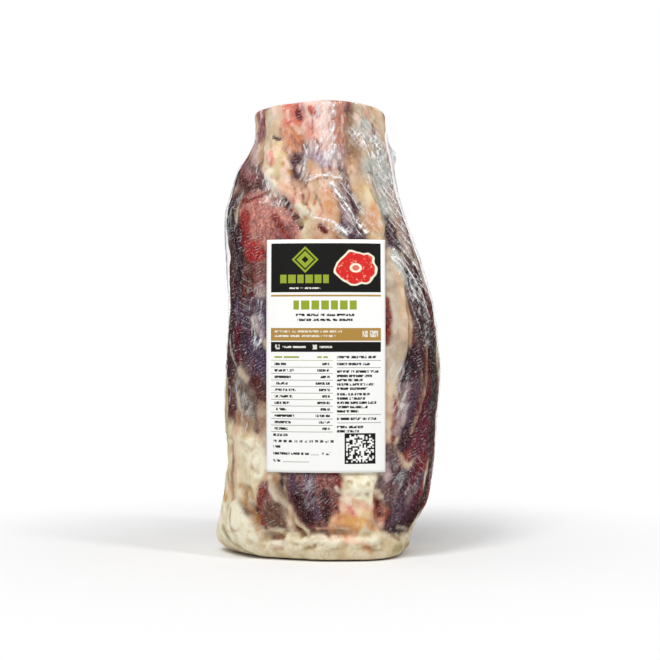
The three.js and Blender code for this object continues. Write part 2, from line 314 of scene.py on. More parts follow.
# %% The relief that the forms make
LABEL_LEFT, LABEL_RIGHT, LABEL_BOTTOM, LABEL_TOP = -38.6, 33.9, 54.8, 197.6
SEAT_FLAT, SEAT_FADE = 1, 7


def bump(distance):
    """1 on the line and 0 from a distance of 1, with no edge at either end."""
    return np.clip(1 - distance**2, 0, None) ** 2


def outside_label(turn, height, radius):
    """Millimetres from the label's edge, and 0 under it. Behind the shank it is far."""
    across = radius * np.sin(np.radians(turn))
    out_x = np.maximum(np.maximum(LABEL_LEFT - across, across - LABEL_RIGHT), 0)
    out_z = np.maximum(np.maximum(LABEL_BOTTOM - height, height - LABEL_TOP), 0)
    return np.where(np.cos(np.radians(turn)) < 0, FAR, np.hypot(out_x, out_z))


def form_relief(turn, height, radius, sink_share=1.0):
    """The sum of all forms. sink_share deepens the seams, which the film spans and the meat follows."""
    relief = np.zeros(turn.shape)
    for azimuth, rows in FORMS.items():
        for _, path, width, rise in rows:
            d = path_distance(sighted(azimuth, path), turn, height, radius) / width
            relief += bump(d) * rise * (sink_share if rise < 0 else 1)
    return relief


def seated(turn, height, plain):
    """0 under the label, where all is pressed smooth, and 1 away from it."""
    return smooth(SEAT_FLAT, SEAT_FLAT + SEAT_FADE, outside_label(turn, height, plain))


def pack_radius(turn, height):
    """The radius of the whole pack: the plain form with its relief, pressed smooth under the label."""
    plain = plain_radius(turn, height)
    return plain + form_relief(turn, height, plain) * seated(turn, height, plain)


print("label", round(LABEL_RIGHT - LABEL_LEFT, 1), "by", round(LABEL_TOP - LABEL_BOTTOM, 1), "mm")

# %% [markdown]
# ## Skins
#
# Most pieces are rows of points that run once round the axis, stacked along a profile. A stack that returns
# to its first row is a ring, like a thick tube: up the outside, over the rim and down the bore. Other
# stacks end in a point at each end. Points stand closer at the front, where the picture looks.

# %% Helpers that make meshes
FRONT_CROWDING = 0.42  # points at the front stand this share closer than the average


def turns_round(count):
    """Turns of a row: u - c sin u, in degrees, which crowds them round the front."""
    u = np.linspace(0, 2 * np.pi, count, endpoint=False)
    return np.degrees(u - FRONT_CROWDING * np.sin(u))


def grid_faces(rows, columns, ring):
    """Quads between each row and the next, round all columns. Rows and columns both wrap if it is a ring."""
    j, i = np.meshgrid(np.arange(rows if ring else rows - 1), np.arange(columns), indexing="ij")
    low, high, nxt = j * columns, (j + 1) % rows * columns, (i + 1) % columns
    return np.stack([low + i, low + nxt, high + nxt, high + i], -1).reshape(-1, 4).tolist()


def end_fans(rows, columns):
    """Triangles from the first row to a point before it, and from the last row to a point after it."""
    low, high, top = rows * columns, rows * columns + 1, (rows - 1) * columns
    around = [(i, (i + 1) % columns) for i in range(columns)]
    return [(low, k, i) for i, k in around] + [(high, top + i, top + k) for i, k in around]


def add_piece(name, points, faces, material):
    """Puts points in millimetres into a smooth mesh, in place, and lets it ride on the frame's one body."""
    mesh = bpy.data.meshes.new(name)
    mesh.from_pydata((np.asarray(points).reshape(-1, 3) * MM).tolist(), [], faces)
    mesh.polygons.foreach_set("use_smooth", np.ones(len(mesh.polygons), bool))
    mesh.materials.append(material)
    piece = bpy.data.objects.new(name, mesh)
    bpy.context.scene.collection.objects.link(piece)
    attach(piece, "root")
    print(name, len(mesh.vertices), "points", len(mesh.polygons), "faces")
    return piece


def store(piece, name, values):
    """Keeps a number or a colour at each point of a piece, for its material to read."""
    values = np.asarray(values, np.float32)
    if values.shape[-1] == 4:
        held = piece.data.attributes.new(name, "FLOAT_COLOR", "POINT")
        held.data.foreach_set("color", values.reshape(-1))
    else:
        held = piece.data.attributes.new(name, "FLOAT", "POINT")
        held.data.foreach_set("value", values.reshape(-1))


def around(turn, radius, height):
    """Points about the upright axis. A turn of 0 looks to the front, along -Y."""
    return np.stack([radius * np.sin(np.radians(turn)), -radius * np.cos(np.radians(turn)), height], -1)


def stand(turn, radius, height):
    """Points about the axis that also fall with the line of the sawn top."""
    points = around(turn, radius, height)
    points[..., 2] += top_fall(points[..., 0], height)
    return points


# %% [markdown]
# The frame's box is centred on its axes, while the reaches above are measured from the bone's side of the
# section. So every piece is moved by the same small step, found from the frame's own box. The form is
# probed at every half degree and every millimetre for it.

# %% The step that centres the form
probe_turn, probe_height = np.meshgrid(np.linspace(0, 360, 721), np.linspace(0, HEIGHT, 286))
probe = around(probe_turn, pack_radius(probe_turn, probe_height), probe_height).reshape(-1, 3)
shank_low, shank_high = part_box("wrapped_shank")
STEP = np.array((shank_low + shank_high) / 2) / MM - (probe.min(0) + probe.max(0)) / 2
STEP[2] = 0
print("step", STEP.round(2))

# %% [markdown]
# ## Colours of raw meat
#
# Raw beef from the cold is not one red. Where air has reached it, it is scarlet or rose. Deep muscle is
# maroon, going to plum and violet under its silvery skin. Fat is cream to butter, stained peach and orange
# by juice, and old creases in it are mustard. Each colour also says how fatty it is, from 0 for flesh to 1
# for fat, because the two have different grain.

# %% Palette
PALETTE = {  # red, green, blue, fatness
    "maroon": (51, 15, 18, 0), "deep plum": (52, 22, 34, 0), "violet": (84, 58, 74, 0),
    "indigo": (74, 54, 80, 0), "crimson": (95, 11, 37, 0), "rose": (190, 124, 112, 0.15),
    "scarlet": (164, 38, 32, 0), "poppy": (196, 80, 72, 0), "blood": (122, 20, 20, 0),
    "brick": (136, 50, 38, 0), "auburn": (137, 84, 78, 0), "liver": (91, 46, 40, 0),
    "umber": (106, 72, 54, 0.1), "dusk": (100, 70, 72, 0.1), "rosewood": (148, 93, 93, 0.1),
    "russet": (190, 122, 98, 0.4), "dove": (170, 146, 147, 0.3), "shadow": (38, 24, 22, 0.1),
    "grey brown": (113, 96, 86, 0.3), "hazel": (166, 134, 106, 0.4), "sand": (200, 180, 154, 0.6),
    "lilac": (184, 160, 176, 0.4), "mauve": (186, 156, 158, 0.4), "slate": (182, 184, 176, 0.5),
    "cream": (215, 200, 167, 1), "white fat": (234, 228, 205, 1), "butter": (226, 198, 156, 1),
    "peach": (232, 190, 162, 0.7), "orange": (217, 158, 110, 0.6), "mustard": (196, 144, 80, 0.8),
    "tan": (202, 164, 132, 0.7), "bone skin": (208, 180, 151, 0.8), "sinew": (189, 172, 151, 0.7),
    "pink": (232, 156, 138, 0.5), "coral": (214, 112, 94, 0.4), "chestnut": (206, 138, 100, 0.5),
    "blush": (248, 212, 200, 0.5), "olive": (176, 160, 118, 0.8), "amber": (222, 166, 101, 0.8),
    "fawn": (178, 152, 142, 0.4),
}


def linear(colour):
    """Linear light for a screen colour of 0 to 255, by the sRGB curve. A fourth number stays as it is."""
    c = np.array(colour[:3], float) / 255
    light = np.where(c <= 0.04045, c / 12.92, ((c + 0.055) / 1.055) ** 2.4)
    return np.append(light, colour[3:])


COLOURS = {name: linear(colour) for name, colour in PALETTE.items()}
print(len(COLOURS), "colours")

# %% [markdown]
# ## Painting the muscles
#
# A stroke is a colour along a path of sightings, with a half width and a rise. Its border wanders with a
# cloud. Strokes are laid over each other as a painter would: broad masses first, then streaks and spots.
# First come those at the top, where muscle thins into tendons and knuckles, whose colours run softly into
# each other.

# %% Strokes at the top
# Colour, half width, rise, path.
TOP_STROKES = read_table("""
dusk, 9, 0, -60 252, -55 242, -47 232
rosewood, 3.6, 0, -56 252, -50 240
liver, 3, 0, -58 240, -50 232
dove, 3, 0, -44 240, -42 230
rosewood, 6, 0, -46 292, -44 270
mauve, 2.6, 0, -48 268, -49 252
bone skin, 7.5, 0.6, -34 286, -34 262, -34 248
sand, 5, 0, -37 281, -38 268
butter, 4.5, 0.3, -30 262, -29 246
cream, 6.5, 0.5, -36 250, -36 238
white fat, 4, 0.4, -38 240, -36 233
coral, 8.5, 0.2, -22 292, -21 277
poppy, 3, 0, -20 289, -20 284
chestnut, 5, 0.1, -23 271, -23 262
blush, 8.5, 0.2, -12 288, -8 272, -6 262
pink, 3.6, 0, -13 274, -11 260
blush, 4.4, 0.3, -4 287, -1 272, -1 258
russet, 5.5, 0.2, 6 292, 6 272, 6 258
rosewood, 3, 0, 13 290, 12 284
hazel, 4.5, -0.3, 16 280, 17 256
sand, 6, 0, 21 288, 24 270, 28 254
bone skin, 6.5, 0.4, 32 286, 33 272, 34 262
pink, 1.4, 0, 24 284, 27 274
slate, 6, 0, 24 274, 32 256, 39 240
sand, 5, 0, 27 258, 30 246
dusk, 4, -0.3, -22 253, -23 242
dove, 4.5, 0, -15 260, -12 250
tan, 4, 0.2, -13 249, -8 244
lilac, 4, 0, -9 257, 1 248
dove, 5, 0, 5 256, 9 247
dusk, 3.6, -0.3, 8 246, 13 240
sand, 5, 0, 3 239, 8 234
dusk, 6.5, -0.4, 11 232, 17 222, 24 206
dove, 3.4, 0, 9 234, 13 228
violet, 3, -0.4, 15 229, 18 223
dove, 3.6, 0, 10 222, 15 211
violet, 4.6, -0.4, 11 208, 17 203
violet, 2.6, -0.3, 21 222, 25 210
peach, 8.5, 0.8, -9 237, -6 226, -8 218
bone skin, 4, 0.2, -9 236, -8 228
orange, 3.8, 0.5, -1 229, 2 217, 1 211
russet, 2, -0.4, -19 230, -18 220
peach, 4.4, 0.4, -27 236, -25 221
peach, 3, 0.1, -22 234, -22 224
pink, 2.6, 0.2, -25 227, -22 223
tan, 4.6, 0.5, 14 251, 18 240, 21 230
butter, 5, 0.8, 23 232, 26 220, 30 206, 32 194
orange, 3.6, 0.2, 26 220, 29 209
slate, 8.5, 0, 28 246, 33 235, 39 220
fawn, 7, -0.2, 42 226, 47 210, 50 198
deep plum, 3, -0.3, 38 214, 42 207
deep plum, 3.6, -0.4, 39 205, 45 196
cream, 6, 0.6, -16 218, -15 206, -17 194
tan, 5.5, 0.2, -9 206, -1 203
""")
TOP_SPOTS = read_table("""
shadow, 1.3, -0.8, -34 267, -31 265.5
pink, 2.6, 0.2, -36 256, -35 251
crimson, 1.4, 0, -42 280, -41 276
blood, 1.6, -0.2, -22 284, -21 280
white fat, 3.6, 0.4, -37 242, -36 236
brick, 1.8, -0.4, -6 209, -3 206
white fat, 2.4, 0.5, -22 222, -19 217
shadow, 2.6, -1.2, -24 214, -20 209
liver, 1.5, -0.8, -31 227, -28 219, -23 213
umber, 1, -0.4, -13 243, -16 236
russet, 0.6, -0.1, -16 236, -13 230, -15 224, -12 219
russet, 0.5, -0.1, -11 233, -8 229, -10 223
russet, 0.5, -0.1, -6 224, -4 219, -7 215
rosewood, 0.7, -0.1, -20 234, -17 228
russet, 0.6, -0.1, -25 236, -22 231, -24 226
rosewood, 0.6, 0, -10 266, -6 262, -8 256
olive, 1.2, 0.4, -22 214, -19 211
coral, 1.8, 0, -13 286, -8 281
mustard, 1.2, -0.3, -28 250, -26 243
""")
print(len(TOP_STROKES) + len(TOP_SPOTS), "strokes at the top")

# %% [markdown]
# Down the left side lie the outer muscles. They go from scarlet at the top over maroon and violet to a
# broad sheet of cream fat at the foot.

# %% Strokes on the left
LEFT_STROKES = read_table("""
cream, 14, 0, -64 70, -65 40, -64 10
maroon, 12, 0, -65 240, -65 150, -65 122
rose, 12, 0.3, -49 221, -40 212, -34 204, -36 192
rosewood, 5, 0, -30 206, -29 194
brick, 1.6, -0.2, -35 216, -30 206, -25 198
brick, 1.6, -0.3, -56 226, -50 226, -43 229
deep plum, 8, 0, -60 204, -59 186, -59 148
shadow, 2.6, 0, -62 196, -60 176
shadow, 2.4, 0, -61 136, -58 128
liver, 8, 0, -47 190, -47 172, -48 158
auburn, 4, 0, -44 188, -43 172
scarlet, 4.6, 0.2, -54 215, -53 203, -46 191
blood, 2.6, 0, -57 208, -56 198
deep plum, 4, 0, -58 192, -57 168
dove, 2.8, 0.3, -44 170, -44 162, -46 154
violet, 4, 0, -50 160, -53 150
indigo, 6, 0, -59 155, -57 142
indigo, 4, 0, -44 160, -44 140
dove, 2.8, 0.3, -49 148, -45 138
crimson, 6, 0, -60 142, -57 126
deep plum, 4, 0, -57 138, -54 122
indigo, 6.5, 0, -50 134, -46 118, -44 108
violet, 4, 0, -53 122, -49 110
liver, 6, 0, -48 106, -45 90
grey brown, 8, 0, -58 112, -56 98, -54 84
sinew, 2.4, 0.3, -59 116, -54 110
sinew, 0.7, 0.5, -65 134, -63 125, -61 119
sinew, 1.2, 0.3, -60 100, -58 88
olive, 4, 0, -67 108, -67 84, -66 64
hazel, 5, 0.1, -43 90, -42 80, -43 70
hazel, 6, 0.2, -58 84, -52 79
bone skin, 5.5, 0.3, -58 75, -48 70
cream, 13, 0.6, -53 61, -50 42, -46 50
white fat, 6, 0.5, -50 66, -47 52
peach, 2.4, 0.1, -60 66, -59 50
hazel, 3, 0, -63 66, -64 44
olive, 2, 0, -66 56, -66 46
mustard, 2.4, -0.3, -64 40, -62 31
olive, 2.4, 0, -66 26, -65 12
white fat, 13, 0.5, -68 20, -60 10, -48 2
white fat, 7, 1.1, -60 24, -53 12, -46 0
mustard, 1.3, -1.1, -56 42, -54 30, -46 14, -38 0
umber, 3.4, -0.2, -40 12, -35 3
tan, 2, 0.2, -51 34, -46 26
mustard, 2.6, -0.2, -70 40, -67 33
tan, 2, -0.5, -66 44, -63 34
olive, 1.2, -0.8, -62 26, -61 14
olive, 2.6, -0.2, -68 14, -60 4, -50 -3
""")
print(len(LEFT_STROKES), "strokes on the left")

# %% [markdown]
# At the foot, two dark front muscles end over the sawn fat. A pale tendon forks between them, and lumps of
# white fat fill the corner to the right.

# %% Strokes at the foot
FOOT_STROKES = read_table("""
cream, 14, 0, -40 -4, 0 -6, 30 -4, 50 2
auburn, 10, 0.2, -22 56, -20 40, -13 22
auburn, 10, 0.2, -1 56, 0 40, -2 22
dusk, 5, 0, -26 50, -22 36
violet, 3.6, 0, -14 52, -13 38, -9 22
violet, 3, 0, -24 46, -22 36
maroon, 4, 0, -20 32, -14 20
brick, 3, 0, 6 50, 8 36, 7 16
blood, 2.6, 0, -3 51, 5 49
maroon, 3, 0, -3 36, -1 20
auburn, 7, 0.2, -40 38, -41 30, -39 18, -35 8
brick, 3.4, 0.2, -43 38, -45 28, -43 18
umber, 5, 0, -36 26, -32 10
hazel, 3, 0, -38 12, -32 8
tan, 2.6, 0, -37 8, -33 2
tan, 3, 0.5, -40 48, -36 46
sinew, 1.5, 1.2, -39 46, -33 33, -26 26, -20 15, -11 8
bone skin, 1.5, 1, -26 26, -25 12, -20 9
cream, 1.6, 0.8, -22 18, -16 11
white fat, 3.4, 1.3, -27 8, -23 7
cream, 3, 1, -16 6, -13 5
white fat, 3, 1.4, -9 7, -5 7
cream, 2.6, 0.9, 2 5, 5 4
tan, 0.9, 0.6, -8 13, 2 13.5, 7 14
olive, 1.6, -0.6, -18 0, -10 2
cream, 4, 0.3, 11 56, 12 36, 11 26
cream, 10, 0, 20 52, 27 44, 22 34, 26 28
hazel, 1, -0.5, 12 44, 20 43, 28 42
hazel, 1, -0.5, 14 35, 24 36, 33 40
cream, 4.4, 0.9, 16 50, 20 47
white fat, 4, 0.8, 27 49, 28 45
white fat, 3.6, 0.9, 17 40, 20 39
white fat, 3.6, 0.8, 27 38, 29 36
white fat, 2.6, 0.6, 16 34, 18 33
white fat, 3.4, 0.9, 26 31, 28 28
mauve, 2.6, 0.2, 34 50, 35 40
peach, 6, 1.2, 6 11, 16 8, 27 9
peach, 5.5, 0.2, 12 29, 20 27, 30 18
orange, 6, 0.3, 6 17, 16 19, 25 14
amber, 4, 0.1, 13 18, 22 15
coral, 1.2, 0, 12 27, 15 23
orange, 3, 0, 3 12, 9 10
tan, 1, 0, 22 12, 24 20
butter, 2.4, 0.4, 19 24, 25 22
white fat, 4, 0.7, 22 9, 30 7
orange, 2.4, 0, 23 1, 26 -1
russet, 3.4, -0.1, 31 34, 33 20
brick, 1.6, -0.2, 33 31, 34 22
dusk, 8, 0.1, 38 60, 40 44, 42 34
mauve, 2.6, 0.3, 36 54, 38 46
deep plum, 9.5, 0.2, 48 44, 49 28, 43 14
crimson, 6.5, 0.2, 59 84, 57 60, 54 46, 51 34
blood, 3.4, 0.1, 58 60, 56 46
violet, 3, 0.3, 57 48, 50 34, 44 20
dusk, 2.2, 0.2, 54 44, 48 31
dusk, 2, 0.2, 43 42, 40 28
violet, 2.8, 0.2, 44 32, 40 18
maroon, 6.5, -0.3, 66 56, 62 38, 56 26, 51 16
cream, 5.6, 0.8, 34 5, 44 3, 53 8
olive, 3, 0, 42 0, 50 4
hazel, 1, -0.6, 40 9, 45 6
olive, 1.2, -0.6, 46 10, 49 7
""")
print(len(FOOT_STROKES), "strokes at the foot")

# %% [markdown]
# Down the right side runs a long pale tendon. Beside it lie plum muscles in their grey skin, crossed by a
# thin pink strand, and the film is gathered along the edge.

# %% Strokes on the right
RIGHT_STROKES = read_table("""
liver, 15, 0, 62 190, 64 150, 66 100, 66 64
fawn, 9, 0, 46 230, 53 206, 59 186, 63 172
dusk, 3.4, -0.2, 43 206, 48 197
dusk, 2.4, -0.2, 50 190, 55 178
sinew, 1.6, 0.2, 43 208, 49 196
sinew, 5, 0.5, 39 190, 42 176
sinew, 7, 0.5, 43 172, 44 150, 43 130
bone skin, 3, 0.3, 43 184, 46 160, 46 138
sinew, 4.2, 0.4, 41 126, 39 108
bone skin, 3, 0.3, 38 106, 37.6 84, 36.6 66
slate, 4.4, 0, 43 190, 49 176, 55 163
deep plum, 2.4, -0.3, 50 180, 52 172
mauve, 3, 0, 56 196, 61 182
dusk, 2.4, 0, 62 186, 65 176
brick, 2, 0, 37 162, 38 146, 37 134
dusk, 3, -0.2, 54 166, 56 146, 55 130
tan, 1.6, 0.4, 50.5 166, 52 146, 51.5 128
maroon, 4, 0, 58 160, 59 138
maroon, 5, 0, 64 146, 65 118
deep plum, 6.5, 0, 54 126, 52 118, 50 108
dove, 4, 0.2, 49 104, 48 94, 45 86
violet, 3.6, 0, 54 106, 52 92, 47 76
dove, 2.6, 0.3, 46 86, 43 76
crimson, 6.5, 0.1, 60 96, 59 76, 57 60
deep plum, 3, 0, 63 96, 63 70
deep plum, 4, 0, 52 78, 46 66
hazel, 0.6, 0.9, 61.5 138, 60.5 114, 56.5 93, 51 76
shadow, 6.5, 0, 66 140, 68 108, 66 76
maroon, 4, 0, 65 84, 64 66
tan, 1.8, 0.2, 61.5 57, 61.5 50
""")
print(len(RIGHT_STROKES), "strokes on the right")

# %% [markdown]
# The back and the flanks aren't in the picture, so they follow what every shank has there: two calf muscles
# with a seam of fat between them, the heel tendon that they run into, and long thin muscles on each flank.

# %% Strokes of the back and flanks
BACK_STROKES = read_table("""
liver, 24, 0, 28 30, 31 90, 27 150, 14 200
maroon, 24, 0, -34 22, -35 90, -29 150, -12 200
deep plum, 9, 0, 36 128, 34 96, 28 60
auburn, 8, 0, 20 196, 24 168, 22 148
brick, 6, 0, -18 190, -26 168, -28 140
violet, 8, 0, -36 110, -41 84, -38 58
cream, 3.4, 0.8, -2 4, 1 60
bone skin, 1.8, 0.6, 1 60, -5 120
cream, 2.8, 0.8, -5 120, -2 150, -3 176
sinew, 1, 0.4, 10 44, 18 72, 14 104
cream, 8.5, 0.6, 1 184, -3 214, 1 246, -2 290
peach, 3.5, 0.3, 4 206, 2 252
coral, 6, 0, 23 256, 25 274, 23 292
tan, 8, 0, -26 250, -25 290
white fat, 11, 0.6, -58 8, -34 -1, -8 9, 16 -3, 36 9, 58 3
cream, 5, 0.4, 40 16, 45 36
bone skin, 2, 0.4, 45 36, 43 62
mauve, 2, 0.3, 20 140, 26 110, 22 84
bone skin, 2.6, 0.4, -48 30, -45 60
sinew, 1.2, 0.4, -45 60, -50 96
""")
RIGHT_FLANK_STROKES = read_table("""
liver, 13, 0, 20 204, 19 150, 17 90, 18 40
cream, 3, 0.6, 36 204, 39 160
sinew, 1.5, 0.6, 39 160, 34 90
cream, 3, 0.6, 34 90, 37 30
crimson, 8, 0, 2 100, -1 80, 1 56
tan, 6, 0.4, 14 250, 17 222
coral, 6, 0, 0 292, 3 262
sinew, 1.4, 0.5, 3 206, -3 170, 2 130, -1 96
white fat, 10, 0.5, -20 8, 0 -2, 20 9, 40 2
violet, 6, 0, 12 60, 15 32
deep plum, 6, 0, 24 180, 27 156, 25 136
""")
LEFT_FLANK_STROKES = read_table("""
maroon, 13, 0, -19 214, -17 160, -17 104
butter, 3, 0.6, -37 214, -33 160
sinew, 1.6, 0.6, -33 160, -38 104
cream, 3, 0.6, -38 104, -35 56
auburn, 8, 0, 0 208, 3 176
cream, 14, 0.5, 0 92, 4 60, 6 30, 6 8
violet, 6, 0, -12 134, -10 104
bone skin, 9, 0.3, 4 286, 2 254
white fat, 10, 0.5, -40 2, -20 12, 0 0, 20 8, 40 2
mustard, 2.6, -0.6, -8 44, -4 26
""")
SIDES = [  # azimuth, how soft the borders are, strokes
    (180, 2.8, BACK_STROKES), (90, 2.6, RIGHT_FLANK_STROKES), (270, 2.6, LEFT_FLANK_STROKES),
    (0, 1.8, RIGHT_STROKES), (0, 3, TOP_STROKES), (0, 1.2, TOP_SPOTS), (0, 1.8, LEFT_STROKES),
    (0, 1.7, FOOT_STROKES),
]
STROKES = [(azimuth, softness, *stroke) for azimuth, softness, strokes in SIDES for stroke in strokes]
print(len(STROKES), "strokes in all")

# %% [markdown]
# Fine flecks and threads make paint look like flesh: veins and pale flecks among the knuckles, crumbs of
# fat at the foot, and long sinews down the back and flanks. There are too many to place by hand, so each
# kind is scattered over its own region, leaning as the fibres lean there.

# %% Flecks
FLECKS = [  # azimuth, colour, middle, spread, lean from upright, length, half width, rise, count
    (0, "rosewood", (-4, 268), (34, 18), 8, (3, 9), (0.5, 0.9), -0.2, 20),
    (0, "blush", (-4, 256), (42, 32), 15, (2, 8), (0.6, 1.2), 0.4, 60),
    (0, "umber", (4, 246), (30, 22), 30, (3, 10), (0.5, 0.8), -0.3, 26),
    (0, "chestnut", (-14, 230), (20, 18), 40, (2, 6), (0.5, 1.0), -0.2, 24),
    (0, "white fat", (20, 43), (14, 12), 60, (2, 6), (0.8, 2.0), 0.3, 18),
    (0, "white fat", (0, 6), (52, 6), 80, (2, 6), (1.0, 2.4), 0.4, 34),
    (0, "sand", (-4, 8), (60, 9), 80, (3, 8), (0.6, 1.2), -0.5, 24),
    (0, "sand", (-54, 50), (14, 24), 20, (4, 9), (0.6, 1.2), -0.5, 14),
    (180, "sinew", (0, 130), (50, 120), 4, (16, 50), (0.3, 0.6), 0.2, 40),
    (90, "sinew", (16, 130), (24, 120), 4, (16, 50), (0.3, 0.6), 0.2, 26),
    (270, "sinew", (-16, 130), (24, 120), -4, (16, 50), (0.3, 0.6), 0.2, 26),
]
LEAN_SPREAD = 14  # degrees by which single flecks stray from the lean of their kind
FLECK_SOFTNESS = 1
BEND = 0.2  # how far a fleck's middle strays, as a share of the shortest fleck's length


def scattered(rng, middle, spread, lean, length):
    """A short bent line of three sightings near a middle, leaning by an angle from upright."""
    x, z = np.array(middle) + rng.uniform(-1, 1, 2) * spread
    angle = np.radians(lean + rng.normal() * LEAN_SPREAD)
    reach = np.array([np.sin(angle), -np.cos(angle)]) * rng.uniform(*length) / 2
    bend = rng.normal(size=2) * length[0] * BEND
    return [(x - reach[0], z - reach[1]), (x + bend[0], z + bend[1]), (x + reach[0], z + reach[1])]


def fleck_strokes(seed):
    """Every fleck as a stroke: azimuth, softness, colour, path, half width, rise."""
    rng = np.random.default_rng(seed)
    made = []
    for azimuth, colour, middle, spread, lean, length, width, rise, count in FLECKS:
        for _ in range(count):
            path = scattered(rng, middle, spread, lean, length)
            made.append((azimuth, FLECK_SOFTNESS, colour, path, rng.uniform(*width), rise))
    return made


flecks = fleck_strokes(301)
print(len(flecks), "flecks")

# %% [markdown]
# ## Bundles under the paint
#
# Under the strokes lies a plain pattern of long bundles. Seeds are scattered in the form, and each point
# belongs to its nearest seed. Heights count for little in that distance, so the cells come out long and
# upright, as muscle bundles do. Where the two nearest seeds are equally far, the bundles meet, and a pale
# membrane shows.

# %% Bundle pattern
BUNDLE_SEEDS = 150
BUNDLE_ROOM = (150, 130)  # breadth and depth of the room that the seeds lie in
BUNDLE_STRETCH = 0.22  # how much a millimetre of height counts beside one of breadth
BUNDLE_COLOURS = [
    "maroon", "liver", "brick", "deep plum", "liver", "umber", "violet", "brick", "dusk", "rose",
]


def bundles(points, seed, colours):
    """The colour of each point's nearest seed, and the distance to the border with the next nearest."""
    rng = np.random.default_rng(seed)
    spread = np.array([*BUNDLE_ROOM, HEIGHT * BUNDLE_STRETCH])
    seeds = (rng.random((BUNDLE_SEEDS, 3)) - (0.5, 0.5, 0)) * spread
    flat = points.reshape(-1, 3) * (1, 1, BUNDLE_STRETCH)
    first, second = np.full(len(flat), FAR), np.full(len(flat), FAR)
    owner = np.zeros(len(flat), int)
    for k, place in enumerate(seeds):
        d = np.sqrt(((flat - place) ** 2).sum(1))
        closer = d < first
        second = np.where(closer, first, np.minimum(second, d))
        owner = np.where(closer, k, owner)
        first = np.minimum(first, d)
    paint = np.array([COLOURS[c] for c in colours])[owner % len(colours)]
    return paint.reshape(*points.shape[:-1], 4), ((second - first) / 2).reshape(points.shape[:-1])


def bent(points, size, reach, seed):
    """Points moved by three clouds, one along each axis."""
    return points + np.stack([cloud(points, size, seed + axis) for axis in range(3)], -1) * reach


print(BUNDLE_SEEDS, "bundles in", len(set(BUNDLE_COLOURS)), "colours")

# %% [markdown]
# Over the bundles go the two ends: tendon and bone skin towards the top, fat at the foot. Both are mottled,
# which means that each of a few colours shows where its own cloud is thick.

# %% Ground paint
# Each colour with the size, strength and seed of its cloud.
TOP_MOTTLE = [("coral", 7, 0.7, 201), ("cream", 6, 0.8, 203), ("umber", 5, 0.6, 205), ("mauve", 5, 0.5, 207)]
FOOT_MOTTLE = [
    ("butter", 12, 0.5, 211), ("olive", 14, 0.25, 213), ("peach", 7, 0.3, 215), ("white fat", 6, 0.7, 217),
]
MOTTLE_EDGE = (0.02, 0.35)  # values of a cloud between which its colour comes in
TOP_ZONE, TOP_ZONE_WANDER = (214, 244), 14  # heights over which tendon comes in, and how far they wander
FOOT_ZONE, FOOT_ZONE_WANDER = (8, 18), 9
MEMBRANE, MEMBRANE_COVER = 1.1, 0.7
MEMBRANE_CORE, MEMBRANE_WANDER = 0.3, 0.5  # where it covers in full, and how far its edge wanders
BUNDLE_BEND = (14, 4, 11)  # size, reach and seed of the clouds that bend the bundles
PALE_CLOUD, FOOT_CLOUD = (9, 21), (22, 31)  # size and seed
TENDON_COVER = 0.8


def lay(paint, colour, share):
    """Blends a colour over the paint by a share at each point."""
    return paint + (colour - paint) * share[..., None]


def mottle(paint, points, zone, spots):
    """Lays each colour of a list where its own cloud is thick, within a zone."""
    for colour, size, strength, seed in spots:
        thick = smooth(*MOTTLE_EDGE, cloud(points, size, seed))
        paint = lay(paint, COLOURS[colour], zone * strength * thick)
    return paint


def ground(points, height):
    """Bundles with their membranes, going over to tendon at the top and to fat at the foot."""
    paint, border = bundles(bent(points, *BUNDLE_BEND), 5, BUNDLE_COLOURS)
    pale = cloud(points, *PALE_CLOUD)
    between = 1 - smooth(0, MEMBRANE, border - MEMBRANE_CORE - MEMBRANE_WANDER * pale)
    paint = lay(paint, COLOURS["cream"], MEMBRANE_COVER * between)
    top = smooth(*TOP_ZONE, height + TOP_ZONE_WANDER * pale)
    paint = mottle(lay(paint, COLOURS["tan"], TENDON_COVER * top), points, top, TOP_MOTTLE)
    foot = 1 - smooth(*FOOT_ZONE, height + FOOT_ZONE_WANDER * cloud(points, *FOOT_CLOUD))
    return mottle(lay(paint, COLOURS["cream"], foot), points, foot, FOOT_MOTTLE)


print(len(TOP_MOTTLE), "colours mottle the top and", len(FOOT_MOTTLE), "the foot")

# %% [markdown]
# Each stroke only touches the rows of points near it, which keeps hundreds of strokes quick. Its border is
# soft over a millimetre or so and wanders by about two, because a painted edge that is too clean looks like
# a cartoon.

# %% Laying the strokes
BORDER_CLOUDS = ((10, 2.2, 41), (3.4, 1.3, 47))  # size, reach and seed of each cloud that moves the borders
COVER_CLOUD = (3.2, 0.16, 53)  # size, strength and seed of the cloud that makes the cover patchy
SOFT_LEAST, SOFT_PER_WIDTH = 0.35, 0.14
WANDER_LEAST, WANDER_FULL = 0.2, 10  # thin strokes wander less than those that are this wide
BORDER_REACH = 4  # how far a stroke can spill over its half width


def near_rows(line, height, reach):
    """The rows of a grid whose heights come within reach of a line."""
    near = (height[:, 0] > line[1].min() - reach) & (height[:, 0] < line[1].max() + reach)
    rows = np.nonzero(near)[0]
    return slice(rows[0], rows[-1] + 1) if len(rows) else slice(0, 0)


